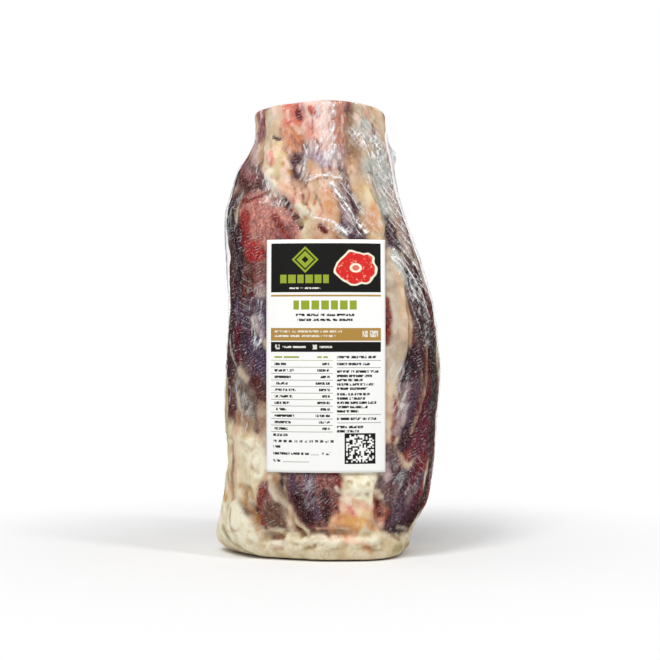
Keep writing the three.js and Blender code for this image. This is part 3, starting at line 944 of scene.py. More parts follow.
def paint_strokes(strokes, opacity, paint, points, turn, height, radius):
    """Lays every stroke of a list on the paint, and gives back how far the strokes rise in all."""
    rise = np.zeros(turn.shape)
    wander = sum(reach * cloud(points, size, seed) for size, reach, seed in BORDER_CLOUDS)
    cover_size, patchy, cover_seed = COVER_CLOUD
    cover = opacity * (1 + patchy * cloud(points, cover_size, cover_seed))
    for azimuth, softness, colour, path, width, lift in strokes:
        line = sighted(azimuth, path)
        at = near_rows(line, height, width + BORDER_REACH)
        inside = width - path_distance(line, turn[at], height[at], radius[at])
        inside += wander[at] * min(1, WANDER_LEAST + width / WANDER_FULL)
        soft = softness * (SOFT_LEAST + SOFT_PER_WIDTH * width)
        share = smooth(-soft, soft, inside) * cover[at]
        paint[at] = lay(paint[at], COLOURS[colour], share)
        rise[at] += lift * share
    return rise


print("borders wander by up to", sum(reach for _, reach, _ in BORDER_CLOUDS), "mm")

# %% [markdown]
# ## The meat's surface
#
# The profile of the meat goes up the outside, over the sawn top, down the bore that the bone fills and back
# under the base. The film hangs free in a few places: along the upper left edge, in a fin beside the right
# knuckle, over the right shoulder and along the right edge. There the meat keeps away from it, and
# elsewhere it lies just under it.

# %% Where the film hangs free
# Azimuth, half width, depth, path.
FREE_FILM = read_table("""
0, 18, 5.5, -68 188, -67 208
0, 16, 3.5, -66 158, -68 190
0, 13, 5, 41 262, 45 244
0, 18, 1.6, 47 234, 49 222, 57 198, 65 172
0, 10, 1.6, 68 150, 71 120, 69 84
""")
UNDER_FILM = 0.6  # how far the meat's plain form lies inside the pack's
FILM_GAP = 0.5
FAT_LUMPS = ((11, 1.0, 61), (5, 0.35, 67))  # size, height and seed of each cloud of lumps
LEAN_LUMPS = ((6, 0.45, 71), (2.6, 0.22, 77))


def free_depth(turn, height, radius):
    """How far the meat keeps away from the film that hangs free."""
    depths = np.zeros(turn.shape)
    for azimuth, path, width, depth in FREE_FILM:
        depths += bump(path_distance(sighted(azimuth, path), turn, height, radius) / width) * depth
    return depths


def lumps(points, fat):
    """Clouds of lumps, those of fat and those of flesh mixed by how fatty each point is."""

    def summed(kind):
        return sum(cloud(points, size, seed) * tall for size, tall, seed in kind)

    flesh = summed(LEAN_LUMPS)
    return flesh + (summed(FAT_LUMPS) - flesh) * fat


def eased(field, passes):
    """Averages each point with its neighbours on the grid, several times. Columns wrap and rows don't."""
    for _ in range(passes):
        field = (np.roll(field, 1, 1) + 2 * field + np.roll(field, -1, 1)) / 4
        padded = np.pad(field, ((1, 1), (0, 0)), mode="edge")
        field = (padded[:-2] + 2 * field + padded[2:]) / 4
    return field


print(len(FREE_FILM), "places where the film hangs free")

# %% [markdown]
# The outside is a grid of turns and heights with a quarter round at each end. It takes its ground, its
# strokes and its flecks, and rises and sinks with them. Its hollows get painted shade: where the relief lies
# below its smoothed self, the colour is darkened as if little light came in.

# %% The outside of the meat
COLUMNS = 372
SIDE_ROWS = 218
ROUND_ROWS = 6
TOP_RINGS = 18
BASE_RINGS = 6
BORE_ROWS = 5
STROKE_COVER, FLECK_COVER = 0.98, 0.55
DEEPER = 1.3  # forms sink and strokes rise this much more in the meat than in the film
# Painted shade in the hollows: its full depth, how far the relief is smoothed to find them, and the share of
# colour that flesh and fat keep under it.
HOLLOW_DEPTH, HOLLOW_EASING = 0.9, 9
HOLLOW_SHADE_TINTS = np.array([[0.62, 0.55, 0.55, 1], [0.72, 0.6, 0.44, 1]])  # what flesh and fat keep there


def rounded(rows, top, foot_round, top_round):
    """Heights and insets of a side with a quarter round at each end, from the bottom up."""
    angle = np.linspace(0, np.pi / 2, ROUND_ROWS + 1)
    sides = np.linspace(foot_round, top - top_round, rows + 1)[1:-1]
    rise, inset = 1 - np.cos(angle), 1 - np.sin(angle)
    heights = np.concatenate([foot_round * rise, sides, top - top_round * rise[::-1]])
    insets = np.concatenate([foot_round * inset, sides * 0, top_round * inset[::-1]])
    return heights, insets[:, None]


side_heights, insets = rounded(SIDE_ROWS, HEIGHT, FOOT_ROUND, TOP_ROUND)
turn, height = np.meshgrid(turns_round(COLUMNS), side_heights)
plain = plain_radius(turn, height)
seat = seated(turn, height, plain)
free = free_depth(turn, height, plain)
place = around(turn, plain, height)
side_paint = ground(place, height)
side_rise = paint_strokes(STROKES, STROKE_COVER, side_paint, place, turn, height, plain)
side_rise += paint_strokes(flecks, FLECK_COVER, side_paint, place, turn, height, plain)
relief = form_relief(turn, height, plain, DEEPER) + side_rise * DEEPER + lumps(place, side_paint[..., 3])
# Painted shade: darker where the relief lies below its smoothed self.
hollow_shade = smooth(0, HOLLOW_DEPTH, eased(relief, HOLLOW_EASING) - relief)[..., None]
fat_here = side_paint[..., 3:]
side_paint *= 1 - hollow_shade * (1 - HOLLOW_SHADE_TINTS[0] * (1 - fat_here) - HOLLOW_SHADE_TINTS[1] * fat_here)
meat_radius = plain + relief * seat - UNDER_FILM - free
print("meat radius", meat_radius.min().round(1), "to", meat_radius.max().round(1), "mm")

# %% [markdown]
# Under the base and in the bore the meat is plain. The sawn top shows muscle bundles cut across: rounder
# cells, with fat between them, which has drawn back a little from the cut.

# %% Ends of the meat
BONE_X, BONE_Y = -5, 3
BONE_OUTSIDE = [(0, 27), (30, 23.5), (80, 18), (180, 16.5), (240, 18), (285, 21)]
BONE_LOBES = 0.07
FIT_GAP = 0.35
MEAT_BASE, MEAT_TOP = 0.3, HEIGHT - 0.4
CUT_COLOURS = ["liver", "tan", "brick", "peach", "rose", "bone skin", "liver", "cream", "deep plum", "coral"]
CUT_SCALE = 1.7  # how much smaller the bundles are than in the body of the shank
CUT_BEND, CUT_SEEDS = (8, 2.5), 71  # size and reach of the clouds that bend them, and their first seed
CUT_FAT = (0.6, 2.0)  # distances from a bundle's border over which fat gives way to flesh
CUT_RISE, CUT_DROP, CUT_LUMPS = 0.35, 0.3, 0.12


def bone_ring(curve, turn, height, gap=0.0):
    """A round that swells three times: r (1 + lobes cos 3 turn), about the bone's own axis."""
    radius = read_curve(curve, height) * (1 + BONE_LOBES * np.cos(3 * np.radians(turn))) + gap
    return around(turn, radius, height) + (BONE_X, BONE_Y, 0)


def cap_rings(rim, bore, count):
    """Rings that go from a rim in to the bore, in even steps."""
    share = (np.arange(1, count) / count)[:, None, None]
    return rim * (1 - share) + bore * share


def cut_face(points, seed):
    """Bundles cut across, with fat between them."""
    level = bent(points, *CUT_BEND, CUT_SEEDS + seed) * (CUT_SCALE, CUT_SCALE, 0) + (0, 0, seed)
    paint, border = bundles(level, seed, CUT_COLOURS)
    paint = mottle(paint, points, np.ones(points.shape[:-1]), TOP_MOTTLE)
    return lay(paint, COLOURS["cream"], 1 - smooth(*CUT_FAT, border)), border


meat_heights = MEAT_BASE + height * (MEAT_TOP - MEAT_BASE) / HEIGHT
side = stand(turn, meat_radius - insets, meat_heights)
bore_grid = np.meshgrid(turn[0], np.linspace(MEAT_TOP, MEAT_BASE, BORE_ROWS + 1))
bore = bone_ring(BONE_OUTSIDE, *bore_grid, FIT_GAP)
top_cap = cap_rings(side[-1], bore[0], TOP_RINGS)
base_cap = cap_rings(side[0], bore[-1], BASE_RINGS)[::-1]
top_paint, top_border = cut_face(top_cap, 81)
base_paint, _ = cut_face(base_cap, 82)
bore_paint = np.broadcast_to(COLOURS["tan"], (*bore.shape[:-1], 4))
top_cap[..., 2] += CUT_RISE * smooth(0, 3, top_border) - CUT_DROP + CUT_LUMPS * cloud(top_cap, 3, 91)
meat_points = np.concatenate([side, top_cap, bore, base_cap]) + STEP
meat_paint = np.concatenate([side_paint, top_paint, bore_paint, base_paint])
print(len(meat_points), "rows of", COLUMNS, "points")

# %% [markdown]
# ## Materials
#
# A material is a small network of nodes. These helpers add a node, link or fill its sockets by name, and
# wrap the few patterns that all finishes share: a cloud of a size in millimetres, a smooth step, a blend of
# colours, level lines of a cloud and hairs. Numbers that are the same all over go on the shader's own
# sockets.

# %% Node helpers
WAVE_SCALE = 0.314  # the wave texture repeats every 0.314 units, and so once a unit at this scale
HAIR_FROM = 0.84  # the height of a wave from which a hair shows


def new_material(name):
    material = bpy.data.materials.new(name)
    material.use_nodes = True
    material.node_tree.nodes.clear()
    return material, material.node_tree


def add_node(tree, kind, inputs=None, **settings):
    """Adds a node with its settings, and links or fills its inputs."""
    made = tree.nodes.new(kind)
    for key, value in settings.items():
        setattr(made, key, value)
    for key, value in (inputs or {}).items():
        if isinstance(value, bpy.types.NodeSocket):
            tree.links.new(value, made.inputs[key])
        else:
            made.inputs[key].default_value = value
    return made


def placed(tree, size, stretch=(1, 1, 1), turned=(0, 0, 0)):
    """The piece's own coordinates, turned, then scaled so that a size in millimetres is one unit."""
    place = add_node(tree, "ShaderNodeTexCoord").outputs["Object"]
    turned_place = add_node(tree, "ShaderNodeMapping", {"Vector": place, "Rotation": turned}).outputs[0]
    scale = [1 / (size * MM * s) for s in stretch]
    return add_node(tree, "ShaderNodeMapping", {"Vector": turned_place, "Scale": scale}).outputs[0]


def pattern(tree, size, stretch=(1, 1, 1), detail=3, rough=0.5, turned=(0, 0, 0)):
    """A cloud of a size in millimetres, which stretch lengthens along an axis."""
    place = placed(tree, size, stretch, turned)
    sockets = {"Vector": place, "Scale": 1.0, "Detail": detail, "Roughness": rough}
    return add_node(tree, "ShaderNodeTexNoise", sockets).outputs[0]


def step(tree, value, low, high, to_low=0.0, to_high=1.0):
    """A smooth slope from one value at low to another at high. Low may be the greater of the two."""
    sockets = {"Value": value, "From Min": low, "From Max": high, "To Min": to_low, "To Max": to_high}
    return add_node(tree, "ShaderNodeMapRange", sockets, interpolation_type="SMOOTHSTEP").outputs[0]


def math(tree, operation, a, b=0.0, clamp=False):
    return add_node(tree, "ShaderNodeMath", {0: a, 1: b}, operation=operation, use_clamp=clamp).outputs[0]


def product(tree, *values):
    made = values[0]
    for value in values[1:]:
        made = math(tree, "MULTIPLY", made, value)
    return made


def total(tree, *values):
    made = values[0]
    for value in values[1:]:
        made = math(tree, "ADD", made, value)
    return made


def mix(tree, share, a, b, way="MIX"):
    sockets = {0: share, 6: a, 7: b}
    return add_node(tree, "ShaderNodeMix", sockets, data_type="RGBA", blend_type=way).outputs[2]


def level_lines(tree, cloud_value, width):
    """1 where a cloud has its middle value, falling to 0 over a width."""
    return step(tree, math(tree, "ABSOLUTE", math(tree, "SUBTRACT", cloud_value, 0.5)), width, 0.0)


def hairs(tree, gap, turned=(0, 0, 0), wander=14):
    """Thin lines, level and a gap in millimetres apart before they are turned, which wander like hairs."""
    sockets = {
        "Vector": placed(tree, gap, turned=turned), "Scale": WAVE_SCALE, "Distortion": wander,
        "Detail": 2.5, "Detail Scale": 0.26, "Detail Roughness": 0.55,
    }
    waves = add_node(tree, "ShaderNodeTexWave", sockets, wave_type="BANDS", bands_direction="Z")
    return step(tree, waves.outputs["Fac"], HAIR_FROM, 1.0)


def rgba(name):
    return (*COLOURS[name][:3], 1)


def bumped(tree, height, strength, distance):
    """The normal of a surface that rises with a height, by a distance in millimetres."""
    sockets = {"Height": height, "Strength": strength, "Distance": distance * MM}
    return add_node(tree, "ShaderNodeBump", sockets).outputs[0]


def blend(tree, share, a, b):
    """Two shaders, mixed by the share of the second."""
    return add_node(tree, "ShaderNodeMixShader", {0: share, 1: a, 2: b}).outputs[0]


def finish_material(tree, surface):
    add_node(tree, "ShaderNodeOutputMaterial", {"Surface": surface})


def finish_principled(tree, colour, roughness, normal, **more):
    """Ends a material with an everyday surface. More sockets are named with _ in place of a blank."""
    sockets = {"Base Color": colour, "Roughness": roughness, "Normal": normal}
    sockets |= {name.replace("_", " "): value for name, value in more.items()}
    finish_material(tree, add_node(tree, "ShaderNodeBsdfPrincipled", sockets).outputs[0])


print("a hair shows on the top", round(1 - HAIR_FROM, 2), "of each wave")

# %% [markdown]
# Meat has three scales of detail below what the mesh holds. Fibres run lengthwise and are a millimetre or
# so thick. Blotches of darker colour are several times that. Fine pale specks of frost lie over the flesh.
# Fat has no fibres: it is waxy and lumpy, stained and finely cracked. The film touches the meat and wets
# it, so all shine comes from the film.

# %% Meat material
MEAT_CLOUDS = {  # size in mm, stretch along each axis, detail, roughness
    "fibre": (1.4, (1, 1.3, 2.6), 3, 0.65), "grain": (1.5, (1, 1, 1.2), 3, 0.65),
    "frost": (1.2, (1, 1, 1.2), 2, 0.5), "blotch": (8, (1, 1, 1.7), 5, 0.65),
    "stain": (7, (1, 1, 1.4), 3, 0.45), "crack": (11, (1, 1, 1.6), 4, 0.6),
}
CRACK_WIDTH = 0.022
DARK_FAT = (0.74, 0.62, 0.44, 1)
FIBRE_SHADES = {"fibre": (0.45, 1.35), "grain": (0.5, 1.3)}  # flesh is multiplied by them, low and high
BLOTCHES = [  # cloud, values between which it comes in, where, colour, strength, way
    ("blotch", 0.52, 0.64, "lean", rgba("violet"), 0.17, "MIX"),
    ("blotch", 0.47, 0.36, "lean", rgba("crimson"), 0.35, "MIX"),
]
SPECKS = [  # likewise, laid after the fibres
    ("frost", 0.58, 0.68, "lean", rgba("blush"), 0.14, "MIX"),
    ("stain", 0.48, 0.64, "fat", DARK_FAT, 0.42, "MULTIPLY"),
    ("stain", 0.5, 0.38, "fat", rgba("white fat"), 0.4, "MIX"),
    ("grain", 0.46, 0.3, "fat", DARK_FAT, 0.22, "MULTIPLY"),
]


def meat_material():
    material, tree = new_material("raw_meat")
    painted = add_node(tree, "ShaderNodeAttribute", attribute_name="paint").outputs
    fat = painted["Alpha"]
    lean = math(tree, "SUBTRACT", 1.0, fat, clamp=True)
    clouds = {name: pattern(tree, *values) for name, values in MEAT_CLOUDS.items()}

    def tinted(colour, share, ink, strength, way):
        return mix(tree, share, colour, mix(tree, strength, colour, ink, way))

    def all_tinted(colour, tints):
        for name, low, high, where, ink, strength, way in tints:
            share = product(tree, step(tree, clouds[name], low, high), fat if where == "fat" else lean)
            colour = tinted(colour, share, ink, strength, way)
        return colour

    colour = all_tinted(painted["Color"], BLOTCHES)
    fibrous = product(tree, lean, lean)
    for name, shades in FIBRE_SHADES.items():
        colour = mix(tree, fibrous, colour, step(tree, clouds[name], 0.3, 0.7, *shades), "MULTIPLY")
    colour = all_tinted(colour, SPECKS)
    cracks = level_lines(tree, clouds["crack"], CRACK_WIDTH)
    cracks = product(tree, cracks, fat, step(tree, clouds["blotch"], 0.42, 0.58))
    colour = tinted(colour, cracks, DARK_FAT, 0.45, "MULTIPLY")
    fibres = product(tree, clouds["fibre"], lean, 0.5)
    grains = product(tree, clouds["grain"], step(tree, fat, 0.0, 1.0, 1.0, 0.45))
    normal = bumped(tree, total(tree, fibres, grains, product(tree, clouds["stain"], fat)), 0.7, 0.5)
    rough = step(tree, clouds["blotch"], 0.3, 0.7, 0.4, 0.6)
    soft = {"Subsurface_Weight": 0.1, "Subsurface_Radius": (1.0, 0.4, 0.25), "Subsurface_Scale": 1.5 * MM}
    finish_principled(tree, colour, rough, normal, Specular_IOR_Level=0.0, **soft)
    return material


meat_faces = grid_faces(len(meat_points), COLUMNS, True)
meat = add_piece("raw_meat", meat_points, meat_faces, meat_material())
store(meat, "paint", meat_paint)
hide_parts("wrapped_shank")

# %% [markdown]
# ## Bone and marrow
#
# The frame's bone is a tube with plain walls. At a saw cut, real bone has a dense pale ring, a spongy pink
# zone inside it and soft marrow in the middle. The bone's shape is right in the frame, so it stays and gets
# this finish, and only its sawn ends show, through the film.

# %% Bone and marrow materials
BONE_PALE, BONE_PINK = (0.82, 0.72, 0.56, 1), (0.7, 0.5, 0.4, 1)


def bone_material():
    material, tree = new_material("bone")
    grain = pattern(tree, 2.2, detail=4, rough=0.65)
    pores = pattern(tree, 0.9, detail=2)
    colour = mix(tree, step(tree, grain, 0.42, 0.62), BONE_PALE, BONE_PINK)
    colour = mix(tree, product(tree, step(tree, pores, 0.48, 0.36), 0.5), colour, rgba("brick"))
    finish_principled(tree, colour, 0.5, bumped(tree, pores, 0.4, 0.4))
    return material


def marrow_material():
    material, tree = new_material("marrow")
    grain = pattern(tree, 3.4, detail=5, rough=0.6)
    colour = mix(tree, step(tree, grain, 0.4, 0.6), rgba("peach"), rgba("coral"))
    colour = mix(tree, step(tree, grain, 0.58, 0.72), colour, rgba("butter"))
    finish_principled(tree, colour, 0.35, bumped(tree, grain, 0.5, 0.8))
    return material


for node, finish in (("bone", bone_material()), ("marrow", marrow_material())):
    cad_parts[node].data.materials.clear()
    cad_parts[node].data.materials.append(finish)
    print(node, "keeps its shape and gets a finish")

# %% [markdown]
# ## The film
#
# Film is a single skin, closed over both ends. Pulled tight, it rests on the high places of the meat and
# spans the low ones. That is the greater of two surfaces: the meat itself, and the meat smoothed by
# averaging each point with its neighbours many times. Where the film hangs free, it goes back out to the
# pack's own form.

# %% The tight film
EASING, LAST_EASING = 26, 2  # how many times each point is averaged with its neighbours
LEAST_GAP = 0.2
FILM_TOP = HEIGHT + 0.15

spanned = meat_radius + free
tight = eased(np.maximum(spanned, eased(spanned, EASING)) + FILM_GAP, LAST_EASING)
tight = np.where(seat > 0, np.maximum(tight, meat_radius + LEAST_GAP), plain - UNDER_FILM + FILM_GAP)
over_meat = tight - meat_radius
print("film over meat", over_meat.min().round(2), "to", over_meat.max().round(2), "mm")

# %% [markdown]
# Where the film is gathered it creases. A crease is a narrow ridge along a short line. We lay a few where
# they catch the light above the label, and scatter the rest over the regions where the film is gathered.

# %% Creases
# Along every crease's crest the film material lays white as painted highlight, on top of the real ridge.
# Azimuth, half width, height, path.
HAND_CREASES = read_table("""
0, 1.7, 1.1, 0 237, 9 225, 24 205
0, 1.8, 1.2, -11 215, 2 212, 13 202
0, 1.3, 0.9, 2 230, 12 216, 22 201
0, 1.3, 0.9, 6 238, 17 226, 27 210
0, 1.3, 0.9, -4 209, 8 204, 14 198
0, 2.2, 0.7, 2 286, 2 270, 1 256
0, 1.3, 0.7, -8 280, -9 262, -6 252
0, 1.2, 0.6, -14 284, -12 272
0, 1.2, 0.6, -3 280, -4 262
0, 1.7, 1, -18 262, -15 256, -18 246
0, 1.7, 1.1, -15 238, -5 242, 7 240
0, 1.4, 0.8, -41 240, -38 231, -35 224
0, 1.3, 0.7, -36 236, -34 226
0, 1.3, 0.9, 20 268, 28 244, 40 218
0, 1.3, 0.9, 24 262, 36 240, 46 214
0, 1.2, 0.8, 18 284, 26 266, 32 254
0, 1.3, 0.8, 30 262, 42 232, 50 210
0, 1.8, 1.1, 41 189, 51 180, 58 168, 64 150
0, 1.8, 1.1, 37 191, 51 174, 57 160
0, 1.5, 0.9, 46 180, 54 161
0, 1.6, 1, 44 196, 55 184, 62 166
0, 1.4, 0.9, 40 200, 50 190, 58 178
0, 1.5, 0.8, 48 170, 54 154, 57 142
0, 1.2, 0.8, 56 140, 66 139
0, 1.8, 0.8, -66 246, -69 214, -69 186
0, 1.8, 0.7, -63 236, -65 206, -64 170
0, 1.4, 0.6, -60 240, -60 214, -58 190
0, 1.2, 0.6, 53 156, 54 140, 60 132
0, 1.3, 1, 37 264, 42 257, 40 248
0, 1.2, 0.8, 34 258, 42 256
0, 1.3, 0.8, -42 168, -48 162, -50 154
0, 1.2, 0.7, -44 158, -50 148
""")
CREASE_FIELDS = [  # azimuth, middle, spread, lean from upright in degrees, length, count
    (0, (31, 238), (10, 28), 28, (4, 18), 60), (0, (52, 180), (9, 22), 40, (4, 18), 46),
    (0, (64, 112), (6, 54), 62, (4, 9), 120), (0, (-3, 264), (14, 20), 4, (4, 14), 22),
    (0, (-64, 200), (4, 40), -4, (10, 30), 26), (0, (-60, 130), (8, 60), -40, (3, 8), 60),
    (0, (58, 44), (8, 24), 48, (3, 9), 26), (90, (0, 150), (34, 100), 24, (6, 24), 70),
    (180, (0, 150), (40, 110), 6, (6, 26), 80), (270, (0, 150), (34, 100), -14, (6, 24), 60),
]
CREASE_WIDTH = (0.9, 1.5)
CREASE_HEIGHT = (0.2, 0.7)


def scattered_creases(seed):
    """Creases at random in each field: azimuth, path, half width, height."""
    rng = np.random.default_rng(seed)
    made = []
    for azimuth, middle, spread, lean, length, count in CREASE_FIELDS:
        for _ in range(count):
            path = scattered(rng, middle, spread, lean, length)
            made.append((azimuth, path, rng.uniform(*CREASE_WIDTH), rng.uniform(*CREASE_HEIGHT)))
    return made


def crease_relief(turn, height, radius):
    """The height of the creases, and how near each point is to a crest, from 0 to 1."""
    relief, crest = np.zeros(turn.shape), np.zeros(turn.shape)
    for azimuth, path, width, tall in HAND_CREASES + scattered_creases(101):
        line = sighted(azimuth, path)
        at = near_rows(line, height, width)
        ridge = np.clip(1 - path_distance(line, turn[at], height[at], radius[at]) / width, 0, 1)
        relief[at] = np.maximum(relief[at], ridge * tall)
        crest[at] = np.maximum(crest[at], ridge * min(1, tall))
    return relief, crest


creases, crest = crease_relief(turn, height, plain)
print(round(float((crest > 0.5).mean()) * 100, 1), "% of the film lies on a crest")

# %% [markdown]
# The direction of the finest gathers differs from place to place: upright along the left edge, leaning in
# the upper right, and across along the right edge, where they look combed. A fourth kind is a veil, where
# many gathers lie so close that they turn milky, and where soft white streaks are painted as highlight.
# Each kind gets its own strength at every point of the film, and the material draws the lines in white,
# part milkiness of the film and part painted highlight.

# %% Directions of the fine gathers
GATHERS = {  # azimuth, half width, strength, path
    "veil": read_table("""
0, 4, 0.5, 38 194, 50 180, 61 160
0, 3.4, 0.5, 40 184, 50 170, 58 154
0, 3.2, 0.4, 46 200, 58 182, 64 164
0, 5, 0.5, 60 160, 62 146, 61 130
0, 8, 0.6, 48 232, 57 204, 63 182
0, 3.6, 1, 1 288, 2 268, 0 254
0, 5, 0.8, -6 284, -7 264, -5 254
0, 3.4, 0.6, -14 264, -19 246, -16 236
0, 5, 0.8, -41 241, -38 232, -35 225
0, 4, 0.5, -30 226, -24 215
0, 2.6, 0.8, -20 238, -10 243, 2 241
0, 2.8, 0.9, 0 238, 12 222, 24 206
0, 2.4, 0.5, 8 241, 20 224, 31 210
0, 3, 0.8, -14 217, 0 211, 12 204, 18 199
0, 4, 0.5, 12 207, 22 199
0, 7, 0.7, -60 246, -66 226, -67 190
0, 8, 0.75, 18 272, 32 248, 44 222
0, 9, 0.8, 28 264, 42 234, 52 206
0, 7, 0.6, 44 116, 46 102, 44 90
0, 6, 1, 38 266, 43 257, 42 246
0, 6, 0.5, -45 148, -47 132
0, 7, 0.4, -58 104, -54 90
0, 7, 0.35, 40 52, 46 40
0, 5, 0.3, -14 50, -12 30
90, 14, 0.4, -10 200, 14 120
180, 16, 0.4, 20 60, 0 200
270, 14, 0.4, 14 220, -6 90
"""),
    "upright": read_table("""
0, 8, 0.8, -62 250, -69 210, -69 150, -68 96
0, 15, 0.7, 0 284, -2 256
0, 10, 0.6, -48 250, -36 226
0, 7, 0.7, -46 166, -47 136
0, 8, 0.6, -58 104, -55 80
180, 60, 0.5, 0 20, 0 270
270, 40, 0.6, 0 20, 0 270
90, 30, 0.5, 20 60, 20 260
"""),
    "leaning": read_table("""
0, 17, 1, 22 272, 40 226, 50 200, 60 168
0, 12, 0.6, 2 238, 24 206
0, 12, 0.25, 56 56, 48 30
90, 30, 0.7, -20 240, 0 180
0, 9, 0.4, -12 250, 10 240
"""),
    "combed": read_table("""
0, 12, 1, 66 160, 71 120, 69 80, 66 50
0, 7, 0.6, -68 120, -67 80
90, 24, 0.7, -4 150, -4 60
0, 10, 0.4, -56 180, -54 150
"""),
}
BAND_TIGHTNESS = 0.9  # below 1, so a band reaches a little further than its half width


def gather_strength(lines, turn, height, radius):
    """The strongest of several soft bands along lines."""
    strength = np.zeros(turn.shape)
    for azimuth, path, width, most in lines:
        band = bump(path_distance(sighted(azimuth, path), turn, height, radius) / width * BAND_TIGHTNESS)
        strength = np.maximum(strength, band * most)
    return strength


gathers = {name: gather_strength(lines, turn, height, plain) for name, lines in GATHERS.items()}
print({name: round(float(strength.mean()), 3) for name, strength in gathers.items()})

# %% [markdown]
# Over the top the film is drawn together in pleats that run to the middle, with sharp valleys between them.
# Under the base it is pressed flat. Creases stop short of the label.

# %% Film mesh
CAP_RINGS = 9
PLEATS = 23
PLEAT_HEIGHT = 0.45
PLEAT_SWAY = 3  # how far pleats crowd on three sides, in radians
CAP_CREST, CAP_FREE, CAP_LEAN = 1.0, 0.3, 0.5
FREE_FULL = 6  # the depth in millimetres from which film counts as wholly free
BARE = (0.5, 4)  # distances from the label over which creases come in

bare = smooth(*BARE, outside_label(turn, height, plain))
film_side = stand(turn, tight + creases * bare - insets, height * FILM_TOP / HEIGHT)


def film_cap(rim, middle_height, tall):
    """Rings from the rim to the middle, lifted by |sin|^0.5 of the turn, which makes sharp valleys."""
    middle = np.array([BONE_X, BONE_Y, middle_height])
    share = (np.arange(1, CAP_RINGS + 1) / (CAP_RINGS + 1))[:, None, None]
    rings = rim * (1 - share) + middle * share
    angle = np.radians(turn[0]) * PLEATS + PLEAT_SWAY * np.sin(np.radians(turn[0]) * 3)
    wave = np.abs(np.sin(angle / 2)) ** 0.5
    pleats = (1 - wave) * np.sin(np.pi * share[..., 0])
    rings[..., 2] += tall * pleats
    return rings, middle, pleats


top_rings, top_middle, pleats = film_cap(film_side[-1], FILM_TOP, PLEAT_HEIGHT)
low_rings, low_middle, _ = film_cap(film_side[0], 0.0, 0)
film_rows = np.concatenate([low_rings[::-1], film_side, top_rings])
film_points = np.concatenate([film_rows.reshape(-1, 3), [low_middle, top_middle]]) + STEP
film_faces = grid_faces(len(film_rows), COLUMNS, False) + end_fans(len(film_rows), COLUMNS)


def over_caps(values, low_value, top_value):
    """A value for every point of the film: those of its side, and one for each end or a grid for the top."""
    cap = np.ones((CAP_RINGS, COLUMNS))
    return np.concatenate([(cap * low_value).ravel(), values.ravel(), (cap * top_value).ravel(), [0, 0]])


# %% [markdown]
# Clear film does three things to light. It lets most of it through. It mirrors lamps, more so at a glancing
# angle and on the walls of creases. And it turns milky where it hangs free of the meat, because there light
# crosses it twice. White along crests is painted highlight, in place of the lamps' glints on the wrinkles.
# The finest lines are white too, partly painted highlight and partly the film's milkiness. Gathers are the
# level lines of a stretched cloud: thin, wavy and nearly parallel. Finer still are hairs: the crests of a
# wave that wanders.

# %% Lines in the film
GATHER_LINES = {  # size in mm, stretch along each axis, lean about the front axis in degrees, strength
    "upright": (4.6, (1, 3, 7), 0, 1.0), "leaning": (4.2, (1, 3, 6), -32, 0.5),
    "combed": (3.8, (2.4, 4, 1), 24, 0.6),
}
LINE_WIDTH = 0.034  # a gather runs where its cloud is this near to its middle value
STRAIGHT_HAIRS = {"combed": (3.4, (-0.5, 0, 0), 4), "leaning": (2.8, (0, -0.85, 0), 6)}  # gap, turn, wander
FUZZ_HAIRS = (1.9, (0, 0.45, 0))
# The short curly hairs are white lines of painted highlight.
FUZZ = 0.4  # strength of the short curly hairs that lie over flesh wherever no straight ones do


def value_at(tree, name):
    return add_node(tree, "ShaderNodeAttribute", attribute_name=name).outputs["Fac"]


def painted_highlight_lines(tree):
    """How strongly gathers and hairs show as white, part painted highlight, from 0 to 1: the strongest of
    them at each place.
    """
    fuzz_share = math(tree, "MAXIMUM", value_at(tree, "leaning"), value_at(tree, "combed"))
    fuzz_share = math(tree, "SUBTRACT", FUZZ, fuzz_share, clamp=True)
    short = step(tree, pattern(tree, 3, detail=1), 0.42, 0.6)
    lines = product(tree, hairs(tree, *FUZZ_HAIRS), short, value_at(tree, "lean"), fuzz_share)
    for name, (size, stretch, lean, most) in GATHER_LINES.items():
        strands = pattern(tree, size, stretch, detail=2, rough=0.55, turned=(0, np.radians(lean), 0))
        drawn = product(tree, level_lines(tree, strands, LINE_WIDTH), value_at(tree, name), most)
        lines = math(tree, "MAXIMUM", lines, drawn)
    for name, kind in STRAIGHT_HAIRS.items():
        lines = math(tree, "MAXIMUM", lines, product(tree, hairs(tree, *kind), value_at(tree, name)))
    return lines


print(len(GATHER_LINES), "kinds of gathers and", len(STRAIGHT_HAIRS) + 1, "of hairs")

# %% [markdown]
# The rest of the milk comes from crests, veils, a faint haze and fine bright dots. The white of crests and
# dots is painted highlight, and veils are partly painted highlight. The milk and the mirror are then mixed
# over a clear body. Film that hangs free lies in several layers, so it lets less light through.

# %% Film material
VEIL_LEAN = -30  # degrees about the front axis
FREE_TINT = (0.78, 0.79, 0.8, 1)  # what film that hangs free lets through
# The finest bright dots are painted glints.
PAINTED_SPARKLE = 0.34  # share of the finest bright dots that lie everywhere
MILK_AND_HIGHLIGHT_SHARES = {"veil": 0.7, "crest": 0.75, "lines": 0.9, "glint": 0.5}
MILK_COLOUR, MILK_ROUGHNESS = (0.96, 0.96, 0.97, 1), 0.3
SHINE, MOST_SHINE = 0.6, 0.016  # share of the mirror in what a plain film would reflect, and its limit
FILM_IOR, MIRROR_ROUGHNESS = 1.48, 0.1


